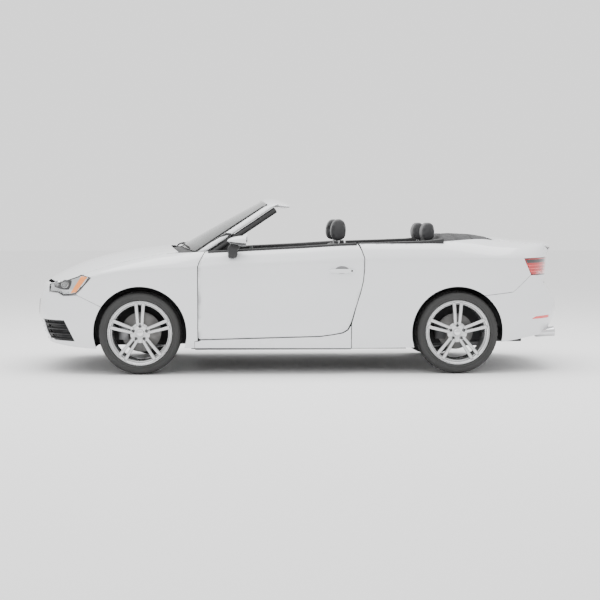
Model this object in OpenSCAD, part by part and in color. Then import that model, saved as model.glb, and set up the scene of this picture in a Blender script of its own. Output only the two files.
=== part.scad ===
// Two-door, four-place convertible car with its top folded down.
// Millimetres. +X points to the rear, +Y to the car's right, +Z up.
// The origin lies on the ground under the middle of the car.

/* [Body] */
// Overall length over the bumpers
body_length = 4350; // [4000:10:4700]
// Overall width of the body without the mirrors
body_width = 1790; // [1700:10:1900]
// Distance between the front and the rear axle
wheelbase = 2540; // [2480:10:2620]
// Length of the nose ahead of the front axle
front_overhang = 888; // [860:4:930]
// Thickness of the outer panels
skin = 8; // [5:1:10]
// Gap between a moving panel and its neighbour
gap = 6.5; // [6:0.5:8]

/* [Wheels] */
// Outer diameter of the tyres
tyre_diameter = 663; // [630:1:680]
// Width of the tyres
tyre_width = 225; // [205:5:235]
// Diameter over the rim flange
rim_diameter = 518; // [470:2:530]
// Distance between the wheel centre planes
track = 1544; // [1500:4:1560]
// Diameter of the front brake discs
front_disc = 320; // [280:5:330]
// Diameter of the rear brake discs
rear_disc = 290; // [260:5:310]

/* [Doors and lids] */
// Front edge of the doors, measured from the middle of the car
door_front = -822; // [-840:2:-800]
// Distance from a door's front edge back to its hinge pins
hinge_setback = 80; // [70:1:100]
// Level of the inner face of the doors, from the middle plane
door_inner = 748; // [740:2:760]

/* [Cabin] */
// Middle of each front chair, from the middle plane
chair_y = 370; // [350:5:390]
// Width of a front chair
chair_width = 500; // [460:5:520]
// Height of the cabin floor
floor_z = 206; // [196:2:220]
// Diameter of the steering wheel
helm_diameter = 370; // [340:5:380]

/* [Hidden] */

half_length = body_length / 2;
half_width = body_width / 2;
front_axle = front_overhang - half_length;
rear_axle_x = front_axle + wheelbase;
hub_z = tyre_diameter / 2;
wheel_y = track / 2;
hinge_x = door_front + hinge_setback;
hinge_y = half_width - 16;
fit = 0.3;

paint = "white";
black = "#202022";
steel = "#9a9ca0";
interior = "#2c2d31";
far = 3000;

/* Piecewise curves: a table of [place, value] rows read with a smooth cubic. */
function clamp(v, low, high) = max(low, min(high, v));
function mix(a, b, t) = a * (1 - t) + b * t;
function row_of(t, x, i = 0) = i >= len(t) - 2 || x < t[i + 1][0] ? i : row_of(t, x, i + 1);
function slope(t, i) =
    let (a = max(i - 1, 0), b = min(i + 1, len(t) - 1)) (t[b][1] - t[a][1]) / (t[b][0] - t[a][0]);
function curve_at(t, x) =
    let (
        i = row_of(t, x),
        w = t[i + 1][0] - t[i][0],
        u = clamp((x - t[i][0]) / w, 0, 1),
        c = pow(u, 2),
        d = pow(u, 3)
    )
    t[i][1] * (2 * d - 3 * c + 1) + t[i + 1][1] * (3 * c - 2 * d)
    + w * (slope(t, i) * (d - 2 * c + u) + slope(t, i + 1) * (d - c));

/* The body's outline in plan is one squared-off oval. */
plan_power = 7.5;
side_power = 3;
function plan_x(y) = half_length * pow(1 - pow(y / half_width, side_power), 1 / plan_power);
function plan_y(x) = half_width * pow(1 - pow(abs(x) / half_length, plan_power), 1 / side_power);
function outward(p) =
    let (
        u = plan_power * pow(abs(p[0]) / half_length, plan_power - 1) / half_length * sign(p[0]),
        v = side_power * pow(p[1] / half_width, side_power - 1) / half_width
    )
    [u, v] / norm([u, v]);

/* Lines along the body's side, as [x, z] rows. */
lower_edge = [[-2175, 240], [-1660, 205], [-915, 212], [888, 212], [1613, 251], [1930, 290], [2175, 300]];
ledge_line = [[-2175, 430], [-1660, 405], [-838, 383], [-172, 410], [146, 418], [800, 487], [1620, 500],
    [2175, 440]];
shoulder_line = [[-2175, 700], [-2101, 712], [-1972, 740], [-1800, 772], [-1628, 792], [-1476, 821],
    [-1172, 848], [-815, 862], [-172, 894], [495, 919], [1119, 930], [1797, 926], [2175, 930]];
belt_line = [[-1085, 964], [-900, 972], [-767, 980], [-10, 1016], [358, 1038], [1012, 1050],
    [1240, 1066], [1450, 1077], [1600, 1070], [1690, 1063], [1780, 1052], [1880, 1045], [1941, 1040],
    [2000, 1033], [2040, 1022], [2175, 1005]];
// How far the top edge of the side lies from the middle plane, as [x, y] rows
top_edge = [[-2175, 735], [-1085, 735], [-900, 790], [-767, 812], [1010, 806], [1240, 760], [1400, 690],
    [1540, 620], [1640, 604], [2175, 604]];
// Middle line of the bonnet, as [x, z] rows
bonnet_line = [[-2180, 655], [-2136, 700], [-2101, 740], [-2032, 785], [-1963, 820], [-1826, 878],
    [-1688, 923], [-1550, 957], [-1412, 983], [-1274, 1003], [-1137, 1018], [-1000, 1030], [-800, 1040]];
bonnet_side = 735;
function bonnet_drop(x) = 55 + max(0, -1085 - x) * 0.077;
function bonnet_z(x, y) =
    curve_at(bonnet_line, x) - bonnet_drop(x) * pow(abs(y) / bonnet_side, 2.2);

// Section at the nose and at the tail, as [z, inset] rows from the bottom up to the shoulder
nose_rows = [[240, 75], [320, 30], [430, 0], [500, 0], [560, 4], [600, 10], [650, 22], [688, 34], [700, 39]];
tail_rows = [[300, 95], [345, 55], [419, 10], [500, 0], [560, 8], [612, 34], [690, 112], [720, 98],
    [930, 88]];
// Section of the side at x, in the same rows
function side_rows(x) =
    let (
        low = curve_at(lower_edge, x),
        ledge = curve_at(ledge_line, x),
        crest = curve_at(shoulder_line, x),
        deep = curve_at([[-1200, 8], [-838, 15], [600, 15], [900, 8]], x)
    )
    [
        [low, 25], [mix(low, ledge, 0.5), 14], [ledge, 2], [ledge + 75, deep],
        [mix(ledge + 75, crest, 0.25), deep + 1], [mix(ledge + 75, crest, 0.5), 7],
        [mix(ledge + 75, crest, 0.75), 0], [crest - 14, 7], [crest, 2]
    ];
roll_steps = 5;

// One upright line of the body's surface at the plan point p, set inwards by inset.
// reach adds a plain stretch above and below.
function upright(p, inset, reach) =
    let (
        n = outward(p),
        blend = pow(n[0], 2),
        side = side_rows(p[0]),
        end = p[0] < 0 ? nose_rows : tail_rows,
        rows = [for (i = [0:len(side) - 1]) mix(side[i], end[i], blend)],
        lower = [for (r = rows) [p[0] - n[0] * (r[1] + inset), p[1] - n[1] * (r[1] + inset), r[0]]],
        crest = lower[len(lower) - 1],
        pull = p[0] < 0 ? 74 : 50,
        top_x = p[0] - pull * n[0],
        top_y = min(curve_at(top_edge, p[0]), p[1] - 75 * n[1]),
        top_z = p[0] < -1085 ? bonnet_z(top_x, top_y) : curve_at(belt_line, top_x),
        trim = min(inset, 0.5),
        top = [top_x + trim * n[0], top_y + trim * n[1], top_z - inset],
        knee = [mix(crest[0], top[0], 0.25), mix(crest[1], top[1], 0.25), mix(crest[2], top[2], 0.7)],
        foot = lower[0]
    )
    [for (q = concat(
        reach > 0 ? [foot - [0, 0, reach]] : [],
        lower,
        [for (i = [1:roll_steps]) let (t = i / roll_steps) mix(mix(crest, knee, t), mix(knee, top, t), t)],
        reach > 0 ? [top + [0, 0, reach]] : []
    )) [q[0], max(q[1], 0.5), q[2]]];

// Closed solid of the whole lower body, set inwards by inset
module body_form(inset = 0, reach = 0, pitch = 60) {
    ends = [for (y = [8, 130, 250, 360, 460, 540, 610, 670, 720]) y * half_width / 895];
    last = plan_x(ends[len(ends) - 1]);
    count = round(2 * last / pitch);
    plan = concat(
        [for (y = ends) [-plan_x(y), y]],
        [for (i = [1:count - 1]) let (x = -last + 2 * last * i / count) [x, plan_y(x)]],
        [for (i = [len(ends) - 1:-1:0]) [plan_x(ends[i]), ends[i]]]
    );
    left = [for (p = plan) [for (q = upright(p, inset, reach)) [q[0], -q[1], q[2]]]];
    right = [for (i = [len(plan) - 1:-1:0]) [for (q = left[i]) [q[0], -q[1], q[2]]]];
    ring = concat(left, right);
    n = len(ring);
    m = len(ring[0]);
    top = m - 1;
    polyhedron(
        points = [for (c = ring) each c],
        faces = concat(
            [for (c = [0:n - 1], r = [0:m - 2]) let (a = c * m + r, b = ((c + 1) % n) * m + r)
                each [[a, a + 1, b + 1], [a, b + 1, b]]],
            [for (c = [0:len(plan) - 2]) let (a = c * m, b = a + m, e = (n - 1 - c) * m, f = e - m)
                each [[a, b, f], [a, f, e], [a + top, f + top, b + top], [a + top, e + top, f + top]]]
        ),
        convexity = 6
    );
}

// Outer skin of the lower body
module body_skin() {
    difference() {
        body_form();
        body_form(inset = skin, reach = 60, pitch = 120);
    }
}

// Gathers its children into one facetted shell
module shell() {
    resize([0, 0, 0]) children();
}

// A side view outline drawn out to the left from the depth near to the depth out
module side_cut(points, near = 300, out = 1100) {
    translate([0, -near, 0]) rotate([90, 0, 0]) linear_extrude(out - near) polygon(points);
}

// A front view outline drawn out along x from one place to another
module front_cut(points, from, to) {
    translate([from, 0, 0]) rotate([90, 0, 90]) linear_extrude(to - from) polygon(points);
}

module box(low, high) {
    translate(low) cube(high - low);
}

module arch_cut(x, radius) {
    translate([x, far / 2, hub_z]) rotate([90, 0, 0]) cylinder(r = radius, h = far, $fn = 72);
}

module on_right() {
    mirror([0, 1, 0]) children();
}

/* Panel outlines in side view, as [x, z] corners */
front_arch = 372;
rear_arch = 368;
door_outline = [[door_front, 300], [door_front + 6, 286], [door_front + 22, 283], [146, 307], [254, 322],
    [328, 337], [366, 360], [392, 410], [435, 547], [470, 660], [489, 744], [499, 840], [500, 927],
    [480, 985], [428, 1080], [-740, 1080], [-767, 979], [-809, 900], [door_front, 862]];
lamp_outline = [[-2035, 655], [-2035, 800], [-1740, 800], [-1674, 774], [-1794, 640], [-1905, 627],
    [-1950, 651]];

module fender() {
    color(paint) shell() difference() {
        intersection() {
            body_skin();
            side_cut([[-1590, 540], [-1794, 636], [-1670, 774], [-1740, 792], [-1740, 1100],
                [-765 - gap, 1100], [-767 - gap, 979], [-809 - gap, 900], [door_front - gap, 862],
                [door_front - gap, 272], [-853, 268], [-853, 100], [-1200, 100], [-1400, 300]]);
        }
        arch_cut(front_axle, front_arch);
        // Landing of the windscreen pillar
        box([-900, -760, 900], [-740, -600, 1100]);
        bonnet_panel(thick = 60, grow = gap);
    }
}
module fender_left() {
    fender();
}
module fender_right() {
    on_right() fender();
}

module quarter() {
    color(paint) shell() difference() {
        intersection() {
            body_skin();
            side_cut([[396 + gap, 96], [396 + gap, 405], [442, 545], [477, 659], [496, 743], [506, 840],
                [507, 928], [487, 988], [441, 1100], [2200, 1200], [2200, 934], [1797, 924], [1862, 792],
                [1706, 655], [1400, 620], [1253, 300], [1100, 152]], near = 466);
            union() {
                box([-far, -far, 208.6], [1620, -604, far]);
                box([1610, -far, 0], [far, 0, far]);
            }
        }
        boot_panel(thick = 40, grow = gap);
        for (lift = [0, 9])
            translate([0, 0, lift]) boot_panel(grow = gap);
        arch_cut(rear_axle_x, rear_arch);
    }
}
module quarter_left() {
    quarter();
}
module quarter_right() {
    on_right() quarter();
}

module sill() {
    difference() {
        intersection() {
            body_skin();
            side_cut([[-850, 100], [-850, 264.5], [door_front, 265], [door_front + 22, 275], [146, 299],
                [254, 314], [332, 328], [373, 352], [396, 390], [396, 100]]);
        }
        arch_cut(front_axle, front_arch);
    }
}
module sills() {
    color(paint) shell() {
        sill();
        on_right() sill();
    }
}

/* Door: solid through its whole thickness, with pockets for the hinge arms */
hinge_levels = [388, 760];
hinge_height = 40;
rim_depth = 30;
rear_relief = 10;
module door() {
    color(paint) shell() difference() {
        intersection() {
            body_form();
            side_cut(door_outline, near = door_inner);
        }
        // Behind its rim the door steps in at the rear and below, so that it swings clear
        difference() {
            body_form(inset = rim_depth, reach = 60, pitch = 120);
            translate([-rear_relief, 0, 4]) side_cut(door_outline, near = door_inner - 50);
        }
        for (z = hinge_levels)
            box([door_front - 20, -hinge_y - 5.5, z - hinge_height / 2],
                [hinge_x + 26, -door_inner + 10, z + hinge_height / 2]);
    }
}
module door_left() {
    door();
}
module door_right() {
    on_right() door();
}

module door_hinge(z) {
    arm = 12;
    translate([0, 0, z]) {
        translate([hinge_x, -hinge_y, -hinge_height / 2 + fit])
            cylinder(r = 4.5, h = hinge_height - 2 * fit, $fn = 32);
        translate([0, 0, -arm]) linear_extrude(2 * arm)
            polygon([[hinge_x - 5, -hinge_y], [hinge_x + 5, -hinge_y + 4], [hinge_x + 2, -790], [-778, -716],
                [-800, -712], [-849.7, -712], [-849.7, -735], [-795, -735], [hinge_x - 14, -790]]);
    }
}
module door_hinges() {
    color(steel) for (z = hinge_levels) {
        door_hinge(z);
        on_right() door_hinge(z);
    }
}

/* Bonnet: a grid over the front edge, the sides and the rear edge */
bonnet_pivot = [-1000, 985];
function bonnet_edge(y) = -2101 + 150 * pow(abs(y) / bonnet_side, 2.4);
function bonnet_back(y) = -1085 + 100 * pow(abs(y) / bonnet_side, 2);
function bonnet_half(x) = min(bonnet_side, plan_y(x) - 75 * outward([x, plan_y(x)])[1]) - gap / 2;

// Closed shell between two grids of points, with rows along +X and columns along +Y
module slab(upper, lower) {
    n = len(upper);
    m = len(upper[0]);
    k = n * m;
    polyhedron(
        points = concat([for (r = upper) each r], [for (r = lower) each r]),
        faces = concat(
            [for (i = [0:n - 2], j = [0:m - 2]) let (a = i * m + j)
                each [[a + m + 1, a + m, a], [a + 1, a + m + 1, a],
                    [k + a + m, k + a + m + 1, k + a], [k + a + m + 1, k + a + 1, k + a]]],
            [for (j = [0:m - 2]) let (a = j, b = (n - 1) * m + j)
                each [[k + a + 1, a + 1, a], [k + a, k + a + 1, a],
                    [b + 1, k + b + 1, b], [k + b + 1, k + b, b]]],
            [for (i = [0:n - 2]) let (a = i * m, b = a + m - 1)
                each [[a + m, k + a + m, a], [k + a + m, k + a, a],
                    [k + b + m, b + m, b], [k + b, k + b + m, b]]]
        ),
        convexity = 6
    );
}

module bonnet_panel(thick = 12, grow = 0, rows = 22, cols = 16) {
    top = [for (i = [0:rows]) [for (j = [0:cols])
        let (
            v = 2 * j / cols - 1,
            wide = bonnet_side - gap / 2,
            y0 = v * wide,
            x = mix(bonnet_edge(y0) + gap / 2 - grow, bonnet_back(y0) + grow, i / rows),
            y = v * (bonnet_half(x) + grow)
        )
        [x, y, bonnet_z(x, y) + grow]]];
    slab(top, [for (r = top) [for (p = r) [p[0], p[1], p[2] - thick - 2 * grow]]]);
}
module bonnet() {
    color(paint) bonnet_panel();
}

/* Boot lid, as rows of x, z, half width and how far the sides lag behind the middle */
boot_rows = [[1600, 1091, 600, 10], [1689, 1087, 601, 20], [1757, 1080, 601, 34], [1826, 1073, 600, 50],
    [1895, 1069, 599, 66], [1964, 1066, 597, 84], [2033, 1062, 592, 92], [2085, 1055, 580, 92],
    [2118, 1043, 560, 84], [2136, 1026, 535, 72], [2130, 1008, 500, 60], [2110, 985, 470, 48],
    [2094, 950, 440, 38], [2088, 900, 424, 34], [2084, 840, 424, 34], [2081, 770, 424, 34],
    [2079, 706, 424, 34]];
boot_pivot = [1650, 1035];
boot_reach = norm([boot_rows[0][0] - boot_pivot[0], boot_rows[0][1] - boot_pivot[1]]);
module boot_panel(thick = 14, grow = 0) {
    cols = 16;
    last = len(boot_rows) - 1;
    function tangent(i) =
        let (a = boot_rows[max(i - 1, 0)], b = boot_rows[min(i + 1, last)], d = [b[0] - a[0], b[1] - a[1]])
        d / norm(d);
    function skin_point(i, j, depth) =
        let (
            r = boot_rows[i],
            v = 2 * j / cols - 1,
            t = tangent(i),
            crown = i < 8 ? 20 : 20 * max(0, 1 - (i - 8) / 4)
        )
        [r[0] + t[1] * depth - r[3] * v * v, v * (r[2] + grow), r[1] - t[0] * depth - crown * v * v];
    upper = [for (i = [0:last]) [for (j = [0:cols]) skin_point(i, j, -grow)]];
    lower = [for (i = [0:last]) [for (j = [0:cols]) skin_point(i, j, thick + grow)]];
    slab(upper, lower);
}
module boot_lid() {
    color(paint) shell() boot_panel();
}

/* Bumpers, grille and lamps */
module front_openings(grow = 0) {
    // Low intake with its two blades, and a slim upper slot
    difference() {
        rotate([90, 0, 0]) translate([0, 0, -half_width]) linear_extrude(body_width)
            polygon([[-2300, 430 + grow], [-1900 + grow, 430 + grow], [-1813 + grow, 262 - grow],
                [-2300, 262 - grow]]);
        for (s = [-1, 1])
            front_cut([[s * (520 + grow), 200], [s * (570 - grow), 200], [s * (540 - grow), 470],
                [s * (490 + grow), 470]], -2300, -1700);
    }
    front_cut([[-430 - grow, 668 + grow], [-380 - grow, 622 - grow], [380 + grow, 622 - grow],
        [430 + grow, 668 + grow]], -2300, -1900);
}
module front_bumper() {
    color(paint) shell() difference() {
        intersection() {
            body_skin();
            rotate([90, 0, 0]) translate([0, 0, -1000]) linear_extrude(2000)
                polygon([[-2300, 100], [-1400, 100], [-1400, 300], [-1500, 490], [-1592, 537],
                    [-1794, 633], [-1905, 624], [-1950, 648], [-2036, 652], [-2037, 900], [-2300, 900]]);
        }
        arch_cut(front_axle, front_arch);
        front_openings();
        // Room for the bonnet's front edge
        translate([0, 0, 0]) bonnet_panel(thick = 60, grow = gap);
    }
}
module front_grille() {
    color(black) shell() intersection() {
        union() {
            difference() {
                body_form(inset = 40, pitch = 120);
                body_form(inset = 46, reach = 60, pitch = 120);
            }
            difference() {
                body_form(inset = skin + 0.6, pitch = 120);
                body_form(inset = 44, reach = 60, pitch = 120);
                for (i = [0:4]) box([-far, -far, 240 + 40 * i], [far, far, 270 + 40 * i]);
                box([-far, -far, 448], [far, far, 628]);
                box([-far, -far, 634], [far, far, 642]);
                box([-far, -far, 648], [far, far, 656]);
            }
        }
        front_openings(grow = 10);
        box([-far, -far, 0], [-1780, far, 700]);
    }
}
module headlamp() {
    difference() {
        intersection() {
            difference() {
                body_form(inset = 1);
                body_form(inset = 35, reach = 60, pitch = 120);
            }
            side_cut([for (p = lamp_outline) p + (p[1] > 700 ? [0, -3] : [0, -2.5])], near = 560);
        }
        bonnet_panel(thick = 60, grow = gap);
        side_cut([[-1676, 770], [-1746, 789], [-1746, 900], [-1500, 900], [-1500, 700]]);
    }
}
module headlamps() {
    color("#dfe6ea") shell() {
        headlamp();
        on_right() headlamp();
    }
}
module rear_bumper() {
    color(paint) shell() difference() {
        intersection() {
            body_skin();
            rotate([90, 0, 0]) translate([0, 0, -1000]) linear_extrude(2000)
                polygon([[2300, 100], [1400, 100], [1380, 300], [1400, 616], [1706, 651], [1860, 786],
                    [2300, 786]]);
        }
        arch_cut(rear_axle_x, rear_arch);
        // Room for the boot lid
        box([1900, -430, 700], [2300, 430, 900]);
        boot_panel(grow = gap);
    }
}
module tail_lamp() {
    difference() {
        intersection() {
            body_form(inset = 1);
            side_cut([[1800, 920], [1866, 792], [2300, 790], [2300, 930]], near = 424 + gap);
        }
        body_form(inset = 60, reach = 60, pitch = 120);
        boot_panel(thick = 60, grow = gap);
    }
}
module tail_lamps() {
    color("#b01818") shell() {
        tail_lamp();
        on_right() tail_lamp();
    }
}

/* Windscreen: rows from the foot to the top as height share, x, z, half width, bow and sag */
glass_rows = [[-1000, 1018, 690, 160, 42], [-930, 1057, 676, 148, 41], [-827, 1116, 655, 131, 41],
    [-723, 1174, 634, 114, 40], [-620, 1231, 612, 97, 39], [-516, 1286, 590, 80, 38],
    [-413, 1342, 567, 63, 37], [-316, 1393, 545, 47, 36]];
function glass_point(r, v, depth) =
    [r[0] + r[3] * v * v + 0.48 * depth, v * r[2], r[1] - r[4] * v * v - 0.88 * depth];
module windscreen() {
    cols = 14;
    color("#3c4a48") slab(
        [for (r = glass_rows) [for (j = [0:cols]) glass_point(r, 2 * j / cols - 1, 0)]],
        [for (r = glass_rows) [for (j = [0:cols]) glass_point(r, 2 * j / cols - 1, 5)]]
    );
}

// Closed solid through a list of rings with equal numbers of points
module loft(rings) {
    n = len(rings);
    m = len(rings[0]);
    polyhedron(
        points = [for (r = rings) each r],
        faces = concat(
            [[for (j = [0:m - 1]) j], [for (j = [m - 1:-1:0]) (n - 1) * m + j]],
            [for (i = [0:n - 2], j = [0:m - 1]) let (a = i * m + j, b = i * m + (j + 1) % m)
                each [[a, a + m, b + m], [a, b + m, b]]]
        ),
        convexity = 6
    );
}

// Header section over the glass, as [x, z] corners in the middle and at its ends
header_mid = [[-312, 1386], [-308, 1400], [-275, 1410], [-235, 1414], [-170, 1405], [-103, 1381], [-67, 1359],
    [-75, 1350], [-180, 1364], [-290, 1376]];
header_end = [[-272, 1348], [-268, 1358], [-248, 1365], [-222, 1366], [-180, 1362], [-120, 1352], [-82, 1340],
    [-90, 1332], [-170, 1338], [-255, 1340]];
module header() {
    steps = 12;
    loft([for (i = [0:steps]) let (v = 2 * i / steps - 1)
        [for (k = [0:len(header_mid) - 1]) let (q = mix(header_mid[k], header_end[k], pow(abs(v), 2.2)))
            [q[0], 556 * v, q[1]]]]);
}
// Pillar rings run up the screen's side; rows are the glass edge's x, z and the ring's middle y
pillar_rows = [[-858, 958, 712], [-800, 1001, 704], [-700, 1069, 686], [-560, 1163, 656], [-420, 1256, 622],
    [-300, 1336, 588], [-262, 1358, 570]];
module pillar() {
    loft([for (r = pillar_rows)
        [for (q = [[0, 26], [0, 2], [12, -18], [60, -22], [84, -14], [84, 18], [66, 26]])
            [r[0] + q[0], -(r[2] - q[1] + 4), r[1] + q[0] * 0.1 - 2]]]);
}
module windscreen_frame() {
    color(paint) shell() difference() {
        union() {
            header();
            pillar();
            on_right() pillar();
        }
        // Rebate for the glass
        slab(
            [for (r = glass_rows) [for (j = [0:14]) glass_point(r, 2 * j / 14 - 1, -60)]],
            [for (r = glass_rows) [for (j = [0:14]) glass_point(r, 2 * j / 14 - 1, 5.3)]]
        );
    }
}

module cowl() {
    cols = 12;
    function at(v, t, depth) =
        let (front = bonnet_back(v * bonnet_side) + 14, glass = glass_point(glass_rows[0], v, 5.3), y = v * 676)
        [mix(front, glass[0], t), y, mix(bonnet_z(front, y) - 26, glass[2], t) - depth];
    color(black) shell() difference() {
        slab(
            [for (t = [0, 0.5, 1]) [for (j = [0:cols]) at(2 * j / cols - 1, t, 0)]],
            [for (t = [0, 0.5, 1]) [for (j = [0:cols]) at(2 * j / cols - 1, t, 40)]]
        );
        for (a = [0:5:55])
            translate([bonnet_pivot[0], 0, bonnet_pivot[1]]) rotate([0, a, 0])
                translate([-bonnet_pivot[0], 0, -bonnet_pivot[1]]) bonnet_panel(grow = gap, rows = 4, cols = 6);
    }
}

/* Folded top: rows of x, crown height and half width */
top_rows = [[1152, 1084, 770], [1160, 1104, 769], [1180, 1119, 764], [1335, 1122, 718], [1447, 1117, 668],
    [1530, 1104, 628], [1586, 1093, 585]];
module folded_top() {
    cols = 14;
    function at(r, v, depth) =
        [r[0] - 60 * v * v * (r[0] > 1400 ? 0.6 : 0.2), v * (r[2] - gap),
            mix(r[1], curve_at(belt_line, r[0]) - 6, pow(abs(v), 4)) - depth];
    color(interior) shell() difference() {
        slab(
            [for (r = top_rows) [for (j = [0:cols]) at(r, 2 * j / cols - 1, 0)]],
            [for (r = top_rows) [for (j = [0:cols]) at(r, 2 * j / cols - 1, 120)]]
        );
        // Path of the boot lid's front edge
        translate([boot_pivot[0], far / 2, boot_pivot[1]]) rotate([90, 0, 0])
            cylinder(r = boot_reach + gap, h = far, $fn = 72);
    }
}

/* Structure under the skin */
liner_radius = 390;
liner_inner = 468;
liner_front = rear_axle_x - liner_radius - 5;
module arch_liner(x, inner) {
    difference() {
        intersection() {
            body_form(inset = skin + 1, pitch = 120);
            translate([x, -inner, hub_z]) rotate([90, 0, 0])
                cylinder(r = liner_radius + 5, h = 500, $fn = 48);
            box([-far, -far, 180], [far, far, far]);
        }
        translate([x, -inner - 5, hub_z]) rotate([90, 0, 0]) cylinder(r = liner_radius, h = 600, $fn = 48);
    }
}
module arch_liners() {
    color(black) shell() difference() {
        for (x = [[front_axle, liner_inner], [rear_axle_x, 560]]) {
            arch_liner(x[0], x[1]);
            on_right() arch_liner(x[0], x[1]);
        }
        // Ways through for the lower arms and the rear axle
        box([front_axle - 30, -far, arm_z - 30], [front_axle + 30, far, arm_z + 6]);
        arch_cut(rear_axle_x, 36);
    }
}

sill_inner = half_width - 25 - skin - 0.5;
floor_half = 560 - fit;
module underbody() {
    color("#3a3c40") {
        // Cabin floor with its sill boxes
        box([-870, -700, floor_z - 18], [liner_front - 2, 700, floor_z]);
        for (s = [-1, 1])
            box([-848, s > 0 ? 700 : -sill_inner, floor_z - 8], [396, s > 0 ? sill_inner : -700, 262]);
        // Raised floor over the rear axle and in the boot
        box([838, -555, floor_z], [liner_front - 2, 555, 430]);
        box([liner_front - 2, -555, 412], [1300, 555, 430]);
        box([1300, -floor_half, 330], [2003, floor_half, 348]);
        box([1300, -555, 348], [1318, 555, 430]);
        // Rear crossmember
        box([1985, -555, 348], [2003, 555, 560]);
        // Boot latch
        box([1985, -20, 560], [2003, 20, 760]);
        box([2003, -20, 740], [2065.4, 20, 760]);
        // Wall between the cabin and the boot
        box([1282, -555, 430], [1300, 555, 979.6]);
    }
}

arm_z = hub_z - 100;
// The steering axis stands this far inside the wheel centre plane
king_offset = 92;
arm_end = wheel_y - king_offset + 12;
module front_structure() {
    color("#44474c") {
        // Bulkhead, rails, radiator panel and bumper beam
        box([-888, -690, floor_z - 18], [-870, 690, 880]);
        box([-870, -690, 300], [-860, 690, 560]);
        for (s = [-1, 1]) {
            box([-1980, s > 0 ? 390 : -460, 420], [-888, s > 0 ? 460 : -390, 500]);
            // Upper apron over the wheel and the hinge post
            box([-1700, s > 0 ? 640 : -652, 730], [-888, s > 0 ? 652 : -640, 790]);
            box([-888, s > 0 ? 690 : -735, 300], [-850, s > 0 ? 735 : -690, 955.6]);
            // Subframe leg and lower arm
            box([-1420, s > 0 ? 390 : -460, 240], [-1150, s > 0 ? 460 : -390, 420]);
            box([front_axle - 20, s > 0 ? 440 : -arm_end, arm_z - 24], [front_axle + 20, s > 0 ? arm_end : -440, arm_z - fit]);
        }
        box([-1420, -460, arm_z - 24], [-1150, 460, 240]);
        box([-1990, -520, 300], [-1960, 520, 640]);
        // Bonnet latch post
        box([-1985, -15, 640], [-1965, 15, bonnet_z(-1985, 0) - 12.9]);
        box([-2060, -520, 470], [-1990, 520, 560]);
        box([-2151.8, -300, 480], [-2060, 300, 540]);
    }
}

module engine_block() {
    color(steel) box([-1780, -300, 240 + fit], [-1120, 300, 780]);
}

module fuel_tank() {
    color(black) box([560, -480, floor_z + fit], [838 - fit, 480, 320]);
}

pipe_z = floor_z - 48;
module exhaust() {
    color(steel) {
        translate([-860, 150, pipe_z]) rotate([0, 90, 0]) cylinder(r = 26, h = 2500, $fn = 32);
        box([0, 140, pipe_z + 10], [20, 160, floor_z - 18 - fit]);
        // The pipe rises into the silencer across the tail
        box([1600, 125, pipe_z], [1640, 175, 240]);
        box([1600, -400, 218], [1860, 400, 330 - fit]);
    }
}

/* Cabin */
helm_at = [-330, -chair_y, 850];
helm_tilt = 65;
column_free = 120;
module dashboard() {
    color(interior) shell() {
        side_cut([[-868, 560.3], [-868, 872], [-840, 905], [-760, 958], [-680, 984], [-560, 975], [-500, 930],
            [-490, 850], [-530, 760], [-700, 640], [-740, 560.3]], near = -688, out = 688);
        translate(helm_at) rotate([0, helm_tilt, 0]) translate([0, 0, -260]) cylinder(r = 34, h = 260 - column_free, $fn = 32);
    }
}
module cabin_trim() {
    color(interior) {
        // Centre console
        box([-740, -112, floor_z], [480, 112, 430]);
        box([-600, -100, 430], [-300, 100, 560]);
        box([-100, -80, 430], [420, 80, 520]);
        // Side walls of the rear cabin, raised over the rear wheels
        for (s = [-1, 1]) {
            box([520, s > 0 ? 640 : -700, floor_z + fit], [liner_front - 2, s > 0 ? 700 : -640, 1030]);
            box([liner_front - 2, s > 0 ? 640 : -700, 740], [1128, s > 0 ? 700 : -640, 1030]);
        }
    }
}

module chair() {
    y0 = -chair_y - chair_width / 2;
    translate([0, y0, 0]) {
        rotate([90, 0, 180]) mirror([1, 0, 0]) linear_extrude(chair_width)
            polygon([[-330, 330], [-345, 430], [-300, 478], [110, 452], [190, 560], [212, 760], [268, 1020],
                [300, 1048], [360, 1048], [392, 1020], [330, 760], [296, 480], [230, 330]]);
        translate([0, chair_width / 2 - 130, 0]) rotate([90, 0, 180]) mirror([1, 0, 0]) linear_extrude(260)
            polygon([[262, 1080], [258, 1190], [280, 1240], [330, 1250], [375, 1225], [387, 1150],
                [372, 1075], [340, 1048.3], [310, 1048.3]]);
        for (y = [60, chair_width - 100])
            box([-280, y, floor_z], [220, y + 40, 330]);
    }
}
module chair_left() {
    color(interior) chair();
}
module chair_right() {
    color(interior) on_right() chair();
}
bench_half = 553;
module rear_bench() {
    color(interior) {
        translate([0, -bench_half, 0]) rotate([90, 0, 180]) mirror([1, 0, 0]) linear_extrude(2 * bench_half)
            polygon([[500, 340], [490, 470], [540, 520], [850, 500], [930, 620], [1010, 1000], [1040, 1050],
                [1120, 1050], [1140, 1000], [1060, 560], [1000, 430.3], [837.7, 430.3], [837.7, 340]]);
        for (s = [-1, 1])
            translate([0, s * 330 - 125, 0]) rotate([90, 0, 180]) mirror([1, 0, 0]) linear_extrude(250)
                polygon([[1015, 1090], [1020, 1190], [1050, 1222], [1100, 1218], [1122, 1150], [1118, 1085],
                    [1090, 1050.5], [1050, 1050.5]]);
    }
}

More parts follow.
